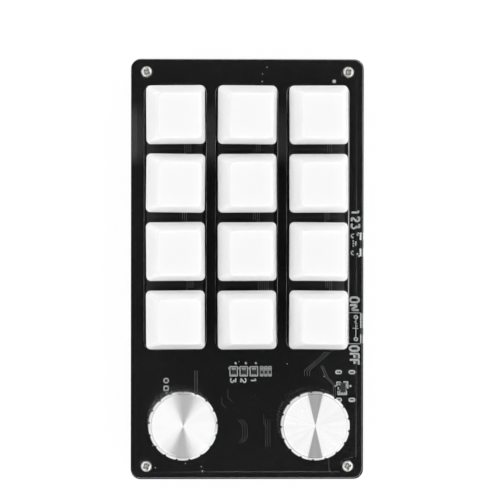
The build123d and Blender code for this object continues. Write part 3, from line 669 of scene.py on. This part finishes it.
def cap_mesh(name, turn):
    """A hollow keycap about its own centre and foot, turned a little on its stem."""
    foot, crown = low(name), high(name)
    centre = middle(name)
    height = crown.z - foot.z
    half = (crown.x - foot.x) / 2
    top = height + 0.03
    bm = bmesh.new()

    def ring(share, z, inset=0.0, lift=0.0):
        """An outline from the base, share 0, to the top, share 1, that dips along its middle."""
        hx = half + (CAP_TOP[0] - half) * share - inset
        hy = half + (CAP_TOP[1] - half) * share - inset
        r = max(0.3, CAP_BASE_R + (CAP_TOP_R - CAP_BASE_R) * share - inset * 0.6)
        shift = CAP_SHIFT * share
        points = rounded(hx, hy, r, z, shift.x, shift.y)
        for p in points:
            across = (p.y - shift.y) / CAP_TOP[1]
            p.z -= lift * CAP_DISH * max(0.0, 1 - across * across)
        return points

    inner_top = height - CAP_DISH - CAP_ROOF
    rings = [[CAP_SHIFT + Vector((0, 0, inner_top))]]
    inside = [(inner_top, inset) for inset in (4.6, 2.3, 1.7)]
    inside += [(z, CAP_WALL) for z in (inner_top * 0.96, inner_top * 0.5, CAP_BAND)]
    for z, inset in inside:
        rings.append(ring((z - CAP_BAND) / (height - CAP_BAND), z, inset))
    for z, inset in ((0.12, CAP_WALL - 0.05), (0.0, CAP_WALL - 0.2), (0.0, 0.16), (0.04, 0.05),
                     (0.14, 0.0), (CAP_BAND - 0.05, 0.0), (CAP_BAND, 0.04)):
        rings.append(ring(0, z, inset))
    steps = 7
    for i in range(steps + 1):
        share = i / steps * (1 - CAP_ROUND / height * 1.05)
        z = CAP_BAND + (height - CAP_BAND) * share
        rings.append(ring(share, z, CAP_LEDGE * (1 - share), RIDGE_DIP * share ** 4))
    for degrees in (15, 30, 45, 60, 75, 90):
        turn_up = math.radians(degrees)
        back, below = CAP_ROUND * (1 - math.cos(turn_up)), CAP_ROUND * (1 - math.sin(turn_up))
        rings.append(ring(1 - below / height, top - below * 0.95, back,
                          RIDGE_DIP + (1 - RIDGE_DIP) * math.sin(turn_up)))
    for inset in (0.62, 1.2, 1.9, 2.9, 4.1, 5.4, 6.2):
        rings.append(ring(1, top, inset, 1.0))
    rings.append([CAP_SHIFT + Vector((0, 0, top - CAP_DISH))])
    rings_to_faces(bm, rings)
    post_foot = inner_top - POST_LEN
    post = [circle(POST_R, inner_top + 0.3, 32), circle(POST_R, post_foot + POST_EASE, 32),
            circle(POST_R - 0.15, post_foot, 32)]
    loops = rings_to_faces(bm, post)
    inner = rings_to_faces(bm, [socket_cross(post_foot + SOCKET_DEPTH), socket_cross(post_foot)])
    rim = [bm.edges.get((a[i], a[(i + 1) % len(a)])) for a in (loops[-1], inner[-1])
           for i in range(len(a))]
    bmesh.ops.bridge_loops(bm, edges=rim)
    bm.faces.new(inner[0])
    spin = Matrix.Rotation(math.radians(turn), 4, "Z")
    place = Matrix.Translation((centre.x, centre.y, foot.z))
    bmesh.ops.transform(bm, matrix=place @ spin, verts=bm.verts)
    return finished(bm, name, 40)


def keycaps():
    turns = (0.5, -0.4, 0.3, -0.6, 0.4, 0.2, 0.5, 0.3, -0.3, 0.4, 0.5, -0.4)
    for key, turn in zip(KEYS, turns):
        node = f"keycap_{key}"
        piece(f"cap_{key}", cap_mesh(node, turn), CAP, f"key_{key}", "cap_white", node)


def key_springs():
    """A coil spring in each key's pocket; how much of it a key's travel would keep is worked out
    but not used.
    """
    foot, crown = low("key_springs").z, high("key_springs").z
    outer = high("key_springs").x - middle("keycap_r1c3").x
    wire, gap, turns = 0.19, 0.02, 6.5
    length = crown - foot - 2 * (wire + gap)
    finish = SLOT_FINISHES["spring_steel"]
    sizes = {"Turns": turns, "Radius": (outer - 2 * wire) * MM, "Wire": wire * MM,
             "Length": length * MM, "Finish": finish}
    joints = frame["record"]["behaviour"]["joints"]
    travels = {joint["name"]: joint["range_m"][1] / MM for joint in joints
               if joint["name"].startswith("press_")}
    for key in KEYS:
        mesh = grown(f"spring_{key}", bpy.data.meshes.new("nothing"), COIL, sizes)
        for face in mesh.polygons:
            face.use_smooth = True
        x, y, _ = middle(f"keycap_{key}")
        mesh.transform(Matrix.Translation(Vector((x, y, foot + wire + gap)) * MM))
        spring = piece(f"spring_{key}", mesh, finish, CASE, "spring_steel", "key_springs")
        keep = 1 - travels[f"press_{key}"] / (crown - foot)
        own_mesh(spring)


# Knobs

GROOVES = 17
GROOVE_R, GROOVE_DEPTH = 0.35, 0.45
KNOB_CHAMFER = 0.9
KNOB_BORE, KNOB_POCKET, POCKET_ROOF = 3.1, 7.5, 3.4
FACE_DROP = 0.08
KNOB_TURNS = {"left": 0.0, "right": 7.0}
# For each knob: blur, skew and squeeze of the turned rings' gleam, and depth of its rays, the
# painted reflection streaks
KNOB_CUTS = {"left": (0.17, 0.09, 0.62, 0.03), "right": (0.055, 0.0, 0.95, 0.04)}


def groove_depth(offset):
    """How deep the groove is at a distance from its middle along the rim."""
    if abs(offset) >= GROOVE_R:
        return 0.0
    return GROOVE_DEPTH - GROOVE_R + math.sqrt(GROOVE_R ** 2 - offset ** 2)


def knob_mesh(side):
    """A knob with a bore and a pocket from below, grooved sides and a face inside a thin rim."""
    node = f"knob_{side}"
    foot = low(node).z
    height = high(node).z - foot
    radius = (high("knob_left").x - low("knob_left").x) / 2
    pitch = 2 * math.pi * radius / GROOVES
    groove_half = 0.36
    in_groove = [-groove_half, -0.345, -0.29, -0.2, -0.1, 0, 0.1, 0.2, 0.29, 0.345, groove_half]
    land = [groove_half + (pitch - 2 * groove_half) * i / 9 for i in range(1, 9)]
    offsets = [pitch * i + d for i in range(GROOVES) for d in in_groove + land]
    first = math.radians(90 + KNOB_TURNS[side])

    def ring(r, z, cut=False):
        """A circle, cut by the grooves or not."""
        points = []
        for offset in offsets:
            near = offset - pitch * round(offset / pitch)
            reach = min(r, radius - groove_depth(near)) if cut else r
            angle = first + offset / radius
            points.append(on_circle(0, 0, reach, angle, z))
        return points

    below = [(KNOB_BORE, 5.0), (KNOB_BORE, POCKET_ROOF + 0.1), (KNOB_BORE + 0.1, POCKET_ROOF),
             (KNOB_POCKET - 0.1, POCKET_ROOF), (KNOB_POCKET, POCKET_ROOF - 0.1),
             (KNOB_POCKET, 0.2), (KNOB_POCKET + 0.2, 0.0), (radius - 0.62, 0.0)]
    shoulder, steps = height - KNOB_CHAMFER, 8
    grooved = [(radius - 0.5, 0.03), (radius - 0.04, 0.46), (radius, 0.58), (radius, 5.0),
               (radius, 10.0), (radius, shoulder - 0.08), (radius - 0.06, shoulder + 0.08)]
    grooved += [(radius - KNOB_CHAMFER * i / steps, height - KNOB_CHAMFER * (steps - i) / steps)
                for i in range(1, steps)]
    brim = radius - KNOB_CHAMFER
    face = [(brim - 0.04, height - 0.01), (brim - 0.35, height)]
    face += [(r, height - FACE_DROP) for r in (brim - 0.42, 8.0, 6.0, 4.0, 2.0, 0.8, 0.3)]
    rings = [ring(*row) for row in below] + [ring(*row, cut=True) for row in grooved]
    rings += [ring(*row) for row in face] + [[Vector((0, 0, height - FACE_DROP - 0.03))]]
    bm = bmesh.new()
    rings_to_faces(bm, rings, close_start=True)
    centre = middle(f"encoder_plunger_{side}")
    bmesh.ops.translate(bm, vec=(centre.x, centre.y, foot), verts=bm.verts)
    return finished(bm, f"spun_{node}", 28)


def knobs():
    for side, cuts in KNOB_CUTS.items():
        centre = middle(f"encoder_plunger_{side}") * MM
        finish = spun_aluminium(f"spun_aluminium_{side}", (centre.x, centre.y, 0), *cuts)
        piece(f"dial_{side}", knob_mesh(side), finish, f"{side}_dial", "knob_aluminium",
              f"knob_{side}")


# Screws

def screw_head(shank):
    """A domed pan head with a tapered cross recess, standing on z = 0, over a plain shank without
    its thread.
    """
    bm = bmesh.new()
    count = 48
    dome = [(1.0, -shank), (1.0, 0.0), (1.66, 0.0), (1.74, 0.12), (1.74, 0.5), (1.68, 0.76),
            (1.52, 0.99), (1.28, 1.16), (1.12, 1.24)]
    rings = [circle(r, z, count) for r, z in dome]

    def cross(reach, half, z):
        """A plus sign with as many points as the head's rings."""
        points = []
        for i in range(count):
            angle = 2 * math.pi * i / count
            near = (angle + math.pi / 4) % (math.pi / 2) - math.pi / 4
            arm = min(reach / math.cos(near), half / max(abs(math.sin(near)), 1e-6))
            arm = max(arm, half * 1.25)
            points.append(on_circle(0, 0, arm, angle, z))
        return points

    rings += [cross(1.1, 0.3, 1.27), cross(1.04, 0.26, 1.2), cross(0.8, 0.2, 0.6),
              circle(0.32, 0.5, count), [Vector((0, 0, 0.45))]]
    grime = bm.verts.layers.float.new("grime")
    loops = rings_to_faces(bm, rings, close_start=True)
    recess_rim, recess_floor = loops[-4], loops[-3]
    # the recess's rim and floor are marked for painted shade
    for v in recess_rim + recess_floor:
        v[grime] = 1.0
    return finished(bm, "screw", 35)


EDGE_BREAKS = {"bottom_plate": 0.1, "lower_frame": 0.0, "upper_frame": 0.0, "top_cover": 0.07}
PLATE_GAP = 0.01


def clear_plates():
    """The four clear plates, a hair apart from what they lie on.

    The outer two have the edges of their outer face broken.
    """
    sawn = clear_acrylic("sawn_acrylic", 0.95)
    for node, edge_break in EDGE_BREAKS.items():
        bm = bmesh.new()
        bm.from_mesh(frame["nodes"][node].data)
        bmesh.ops.remove_doubles(bm, verts=bm.verts, dist=1e-6)
        bmesh.ops.dissolve_limit(bm, angle_limit=math.radians(1), verts=bm.verts, edges=bm.edges)
        foot, crown = low(node).z * MM, high(node).z * MM
        outer = foot if node == "bottom_plate" else crown
        sharp = [e for e in bm.edges if len(e.link_faces) == 2
                 and e.calc_face_angle(0) > math.radians(40)
                 and all(abs(v.co.z - outer) < 1e-6 for v in e.verts)]
        if edge_break:
            bmesh.ops.bevel(bm, geom=sharp, offset=edge_break * MM, segments=2, profile=0.5,
                            affect="EDGES", clamp_overlap=True)
        half, mid = (crown - foot) / 2, (crown + foot) / 2
        thinner = half - PLATE_GAP * MM
        for v in bm.verts:
            v.co.z = mid + (v.co.z - mid) * thinner / half
        bmesh.ops.triangulate(bm, faces=bm.faces)
        bmesh.ops.scale(bm, vec=(1 / MM,) * 3, verts=bm.verts)
        finish = sawn if edge_break else SLOT_FINISHES["clear_acrylic"]
        mesh = finished(bm, node, 14, outwards=False)
        piece(f"clear_{node}", mesh, finish, CASE, "clear_acrylic", node)


def case_screws():
    """The corners' screws, those in the cover head up and those in the bottom plate head down."""
    head_r, turns = 1.8, (28, 60, 12, 40)
    reach_x, reach_y = high("top_screws").x - head_r, high("top_screws").y - head_r
    corners = [(sx * reach_x, sy * reach_y) for sx in (-1, 1) for sy in (-1, 1)]
    for name, node, level, tip, *flip in (
            ("cover_screws", "top_screws", COVER_TOP, low("top_screws").z),
            ("base_screws", "bottom_screws", low("bottom_plate").z, high("bottom_screws").z,
             math.pi)):
        places = [(x, y, level, turn, *flip) for (x, y), turn in zip(corners, turns)]
        mesh = repeated(name, screw_head(abs(level - tip)), places, STEEL)
        piece(name, mesh, STEEL, CASE, "screw_steel", node)


# Print on the board: sizes and places in millimetres

GLYPHS = {
    "O": [[(0.3, 0), (0, 0.22), (0, 0.78), (0.3, 1), (0.7, 1), (1, 0.78), (1, 0.22), (0.7, 0),
           (0.3, 0)]],
    "N": [[(0, 0), (0, 1), (1, 0), (1, 1)]],
    "F": [[(0, 0), (0, 1), (1, 1)], [(0, 0.52), (0.85, 0.52)]],
    "1": [[(0.15, 0.78), (0.55, 1), (0.55, 0)]],
    "2": [[(0, 0.78), (0.25, 1), (0.75, 1), (1, 0.8), (1, 0.62), (0, 0), (1, 0)]],
    "3": [[(0, 1), (1, 1), (0.42, 0.6), (0.8, 0.55), (1, 0.35), (1, 0.18), (0.75, 0), (0.2, 0),
           (0, 0.15)]],
}


def glyphs(text, x, tops, tall, wide):
    """Plain single-line capitals and digits that read down the board, one from each place in y."""
    return [[(x + v * tall, top - u * wide) for u, v in shape]
            for letter, top in zip(text, tops) for shape in GLYPHS[letter]]


def box_path(x1, y1, x2, y2):
    return [(x1, y1), (x2, y1), (x2, y2), (x1, y2), (x1, y1)]


def ring_path(x, y, radius):
    """A closed circle of sixteen points."""
    points = [tuple(on_circle(x, y, radius, math.pi * i / 8, 0))[:2] for i in range(16)]
    return points + [points[0]]


BOARD_CORNER = 2.8
LIGHT_PITCH, LIGHT_HALF = 3.15, (1.15, 1.45)
WORD_FOOT, WORD_TALL = 32.25, 2.7


def switch_marks(power):
    """The slide switch's words, and its two throws drawn as a circuit."""
    words = glyphs("ON", WORD_FOOT, (power + 9.6, power + 7.2), WORD_TALL, 1.55)
    words += glyphs("OFF", WORD_FOOT, (power - 5.6, power - 7.95, power - 9.85), WORD_TALL, 1.45)
    throws = (power + 3.46, power - 3.37)
    rings = [ring_path(34.05, y, 0.46) for y in throws]
    start, end = power + 4.83, power - 4.83
    thin = [[(35.5, start), (31.85, start), (31.85, end), (35.5, end)],
            [(34.05, throws[0] - 0.6), (34.05, throws[1] + 0.6)], [(33.0, power), (34.8, power)],
            [(33.5, power + 2.1), (34.5, power + 1.4)], [(34.0, power + 0.9), (34.6, power + 0.6)]]
    return words, rings, thin


def button_marks(button):
    """The layer button's numbers, and a bracket round its pads."""
    words = glyphs("123", 32.7, (button + 10.7, button + 8.6, button + 6.4), 2.35, 1.4)
    marks = []
    for side in (1, -1):
        for arc in (((33.5, 3.3), (32.7, 3.05), (32.55, 2.3)), ((34.2, 3.2), (34.7, 2.7))):
            marks.append([(x, button + side * dy) for x, dy in arc])
    marks += [[(33.2, button + y), (33.2, button + y - 0.5)] for y in (1.35, 0.55, -0.25)]
    zigzag = ((33.8, 0.9), (34.1, 0.5), (33.8, 0.1), (34.1, -0.4))
    marks.append([(x, button + dy) for x, dy in zigzag])
    return words, marks


def light_marks():
    """Each light's outline, pole marks and number, and the ladder of marks round its resistor."""
    y = LIGHTS.y + 0.25
    thin, numbers, solid = [], [], []
    for digit, step in zip("321", (-1, 0, 1)):
        x = LIGHTS.x + step * LIGHT_PITCH
        hx, hy = LIGHT_HALF
        thin.append(box_path(x - hx, y - hy, x + hx, y + hy))
        thin += [[(x - 0.7, y + dy), (x + 0.7, y + dy)] for dy in (0.95, -0.95)]
        solid.append([(x - hx - 0.5, y + 0.9), (x - hx, y + 0.9)])
        solid.append([(x + 0.42, y + 2.32), (x + 0.82, y + 2.72)])
        numbers += glyphs(digit, x - 0.9, (y - 2.15,), 1.55, 1.3)
    for x in RESISTORS:
        thin.append(box_path(x - 0.4, y - 1.45, x + 0.4, y + 1.45))
        thin += [[(x - 0.42, y + dy), (x + 0.42, y + dy)] for dy in (-1.2, -0.75, 0.05, 0.9)]
        thin += [[(x, y + 0.05), (x, y + 0.6)], [(x, y - 0.75), (x, y - 0.3)]]
    return thin, numbers, solid


def charger_marks(usb):
    """The charger chip's outline, its pole marks and the marks of the parts round it."""
    x, y = 29.96, usb - 0.5
    strokes = (
        ((-1.7, 0.6), (-1.7, 1.7), (-0.6, 1.7)), ((1.65, -0.3), (1.65, 1.75), (0.3, 1.75)),
        ((0.5, 1.2), (1.3, 0.4)), ((-1.25, 1.2), (-0.6, 0.7)), ((0.9, 1.3), (1.3, 0.95)),
        ((0.1, 1.4), (1.25, -0.1)), ((-0.9, 1.35), (-0.3, 1.35)), ((-1.3, 0.2), (-1.3, -0.7)),
        ((1.2, -0.6), (0.7, -0.95)), ((-1.0, -0.9), (0.4, -0.9)))
    thin = [[(x + dx, y + dy) for dx, dy in stroke] for stroke in strokes]
    thin += [box_path(x + dx - 0.22, y - 2.15, x + dx + 0.22, y - 1.25)
             for dx in (-1.2, -0.45, 0.3, 1.05)]
    solid = [[(32.25, y + 0.26), (32.69, y + 0.7)]]
    minus = [[(27.5, y + 0.45), (28.05, y + 0.45)]]
    return thin, solid, minus


def printed_marks():
    """White print on the board's top."""
    words, rings, circuit = switch_marks(POWER_Y)
    numbers, bracket = button_marks(BUTTON_Y)
    outlines, small_numbers, poles = light_marks()
    charger, plus, minus = charger_marks(PORT_Y)
    square = [box_path(LEAD_X - 0.62, -37.82, LEAD_X + 0.62, -36.58)]
    specks = [[(x, y), (x + 0.25, y)] for x, y in (
        (-29.2, -55.0), (-29.6, -50.3), (4.75, 60.6), (3.2, 56.3), (-19.0, -60.6), (-14.1, -61.6),
        (12.6, -29.6), (-2.4, -28.9))]
    marks = [("words", words, 0.64, 0.25), ("numbers", numbers, 0.6, 0.25),
             ("rings", rings, 0.46, 0.1), ("circuit", circuit, 0.2, 0.05),
             ("bracket", bracket, 0.36, 0.1), ("outlines", outlines, 0.35, 0.05),
             ("small_numbers", small_numbers, 0.42, 0.1), ("poles", poles, 0.7, 0.0),
             ("charger", charger, 0.48, 0.0), ("plus", plus, 0.62, 0.0),
             ("minus", minus, 0.34, 0.0), ("square", square, 0.4, 0.0),
             ("specks", specks, 0.22, 0.0)]
    meshes = [lines(name, paths, width, INK, BOARD_TOP, corner=corner)
              for name, paths, width, corner in marks]
    piece("printed_marks", joined("printed_marks", meshes), INK, CASE, "board_black")


PAD_HEIGHT, SPECK_HEIGHT = 0.035, 0.03


def annulus(outer, inner, height=PAD_HEIGHT, stretch=0.0):
    """A flat ring for a plated hole, made long by a stretch along x."""
    count = 24

    def loop(radius, z):
        points = circle(radius, z, count, start=math.pi / count)
        for p in points:
            p.x += math.copysign(stretch, p.x)
        return points

    return band("annulus", [loop(inner, height), loop(inner, 0), loop(outer, 0),
                            loop(outer, height)])


def pads():
    """Tinned rings round the holes and tinned pads on the board's two faces."""
    front = high("usb_shell").x - 3.0
    legs = [(x, PORT_Y + side * 4.325) for x in (front, front - 4.15) for side in (-1, 1)]
    leads = [(LEAD_X, -34.8), (LEAD_X, -37.2)]
    switch_pads = [(31.75, POWER_Y + dy) for dy in (-2.9, 0.0, 2.9)]
    button_pads = [(x, BUTTON_Y + dy) for x, dy in (
        (33.0, -2.15), (33.0, 2.15), (34.75, 3.45), (34.95, -3.6))]
    vias = [(24.2, -33.5), (-28.3, -61.9), (-13.6, -62.9), (6.3, 62.6), (4.8, 58.2)]
    meshes = []

    def plated(name, ring, places, level=BOARD_TOP):
        """A ring at each of its places on one face of the board."""
        meshes.append(repeated(name, ring, [(x, y, level, 0) for x, y in places], TIN))

    for level in (BOARD_TOP, BOARD_FOOT - PAD_HEIGHT):
        plated("legs", annulus(0.66, 0.32, stretch=0.4), legs, level)
        plated("leads", annulus(0.88, 0.5), leads, level)
    plated("dots", annulus(0.3, 0.08), switch_pads + button_pads)
    plated("fiducial", annulus(0.55, 0.05, SPECK_HEIGHT), [(27.2, 58.3)])
    plated("vias", annulus(0.17, 0.06, SPECK_HEIGHT), vias)
    piece("plated_pads", joined("plated_pads", meshes), TIN, CASE, "contact_metal")


def traces():
    """Copper under the mask, a little raised, and paler strips of painted light in the gaps between
    rows.
    """
    rng = random.Random(7)
    paths, faint = [], []

    def bundle(points, count, gap, into=paths):
        """Some tracks side by side along x."""
        for i in range(count):
            into.append([(x + i * gap, y) for x, y in points])

    bundle([(-16.02, -31.7), (-16.02, -44.0)], 2, 0.72)
    bundle([(24.6, -25.9), (18.1, -31.7), (18.1, -33.4)], 3, 0.8)
    bundle([(23.2, -30.2), (24.8, -33.8), (27.1, -36.2), (27.1, -41.0)], 2, 0.6)
    bundle([(-2.6, -46.9), (-1.1, -48.8), (-1.1, -52.4), (-2.4, -54.2)], 3, 0.72, faint)
    bundle([(6.0, -46.8), (6.0, -55.4)], 3, 0.7, faint)
    columns = [middle(f"keycap_r1c{col}").x for col in (1, 2, 3)]
    rows = [middle(f"keycap_r{row}c1").y for row in (1, 2, 3, 4)]
    between_rows = [(upper + lower) / 2 for upper, lower in zip(rows, rows[1:])]
    track_pitch, gap_light_half = 0.62, 8.7
    for y in between_rows:
        for x in columns:
            start = x + rng.uniform(2.2, 5.0)
            for i in range(rng.randint(3, 6)):
                end = y - rng.choice((1.0, 4.0))
                paths.append([(start + i * track_pitch, y + 4.0), (start + i * track_pitch, end)])
    for _ in range(9):
        x, y = rng.uniform(-30, 28), rng.uniform(-60, -30)
        reach, bend = rng.uniform(2, 7), rng.choice((-1, 1)) * rng.uniform(0.8, 2.4)
        faint.append([(x, y), (x, y - reach), (x + bend, y - reach - abs(bend))])
    # painted light: a paler strip fills each gap between rows
    gap_light = [[(x - gap_light_half, y), (x + gap_light_half, y)] for y in between_rows for x in columns]
    for name, drawn, width, finish, height, corner in (
            ("copper_traces", paths, 0.13, TRACE, 0.02, 0.4),
            ("faint_traces", faint, 0.24, FAINT_COPPER_AND_GAP_LIGHT, 0.012, 0.4),
            ("copper_pours", gap_light, 4.6, FAINT_COPPER_AND_GAP_LIGHT, 0.008, 0.0)):
        mesh = lines(name, drawn, width, finish, BOARD_TOP, height, corner)
        piece(name, mesh, finish, CASE, "board_black")


def board_rim():
    """The board's rough routed edge, a little proud of the finished face."""
    (x0, y0, z0), (x1, y1, z1) = low("circuit_board"), high("circuit_board")
    half_x, half_y = (x1 - x0) / 2, (y1 - y0) / 2
    proud, sunk = 0.17, -0.01
    z0, z1 = z0 + 0.03, z1 - 0.01
    rings = [rounded(half_x + out, half_y + out, BOARD_CORNER + out, z)
             for out, z in ((sunk, z1), (proud, z1), (proud, z0), (sunk, z0))]
    piece("board_rim", band("board_rim", rings), SLOT_FINISHES["board_black"], CASE, "board_black")


# Surroundings

def studio():
    """A pale floor, an even tent of light that is dimmer at its two ends and open overhead."""
    world = bpy.data.worlds.new("studio")
    bpy.context.scene.world = world
    world.use_nodes = True
    sky = Finish(world.node_tree)
    way = sky.node("TexCoord", None, None, "Generated")
    across, along, up = sky.parts(way)
    level = sky.math("SQRT", across * across + along * along)
    tent_across, tent_along = across - 0.053, along + 0.06
    reach = sky.math("SQRT", tent_across * tent_across + tent_along * tent_along)
    beside = abs(tent_across) / (reach + 0.0001)
    tent = sky.ramp(beside, (0.215, 0.36), (0.235, 1.0))
    height = sky.ramp(level, (0.2, 0.0), (0.36, 0.42), (0.65, 0.48), (0.72, 1.0), (0.87, 1.0),
                      (0.92, 0.2), (0.98, 0.2), (1.0, 0.5))
    brightest, right_gain, overhead = 2.0, 0.22, 0.036
    wall = height * tent * brightest * (1 + (across > 0.0) * right_gain)
    band = sky.ramp(along, (0.0, 0.0), (0.004, 1.0), (0.011, 1.0), (0.016, 0.0))
    patch = band * sky.ramp(across, (0.03, 1.0), (0.055, 0.6), (0.06, 0.0)) * 0.3
    light = wall + overhead + patch
    camera = sky.node("LightPath", None, None, "Is Camera Ray")
    strength = light + (1 - light) * camera
    back = sky.node("Background", None, {"Color": (1, 1, 1, 1), "Strength": strength})
    sky.node("OutputWorld", None, {"Surface": back})

    bm = bmesh.new()
    bmesh.ops.create_grid(bm, x_segments=1, y_segments=1, size=4.0)
    mesh = bpy.data.meshes.new("floor")
    bm.to_mesh(mesh)
    bm.free()
    floor = linked("floor", mesh)
    floor.location.z = -0.0001
    material = bpy.data.materials.new("floor_white")
    material.use_nodes = True
    paint = Finish(material.node_tree)
    matt = paint.node("BsdfDiffuse", None, {"Color": (0.9, 0.9, 0.9, 1)})
    glow = paint.node("Emission", None, {"Color": (1, 1, 1, 1), "Strength": 1.03})
    rays = [paint.node("LightPath", None, None, name)
            for name in ("Is Camera Ray", "Is Glossy Ray", "Is Transmission Ray")]
    seen = paint.math("MAXIMUM", rays[0], paint.math("MAXIMUM", rays[1], rays[2])) * 0.9
    paint.node("OutputMaterial", None, {"Surface": paint.mixed(seen, matt, glow)})
    mesh.materials.append(material)


def camera():
    """Almost straight above, a little to the left and to the far side."""
    data = bpy.data.cameras.new("camera")
    made = linked("camera", data)
    made.location = Vector((-49.52, 31.45, 1320.84)) * MM
    roll, pitch, yaw = [Matrix.Rotation(math.radians(degrees), 3, axis) for degrees, axis in (
        (-2.2143, "Y"), (-1.1206, "X"), (0.0931, "Z"))]
    made.rotation_euler = (roll @ pitch @ yaw).to_euler()
    data.sensor_width = 36.0
    focal_pixels, frame_pixels = 4211.85, 500
    data.lens = data.sensor_width * focal_pixels / frame_pixels
    data.clip_start, data.clip_end = 0.05, 20.0
    bpy.context.scene.camera = made


bpy.context.scene.view_settings.view_transform = "Standard"
dress_nodes()
keycaps()
key_springs()
knobs()
clear_plates()
case_screws()
printed_marks()
pads()
traces()
board_rim()
studio()
camera()
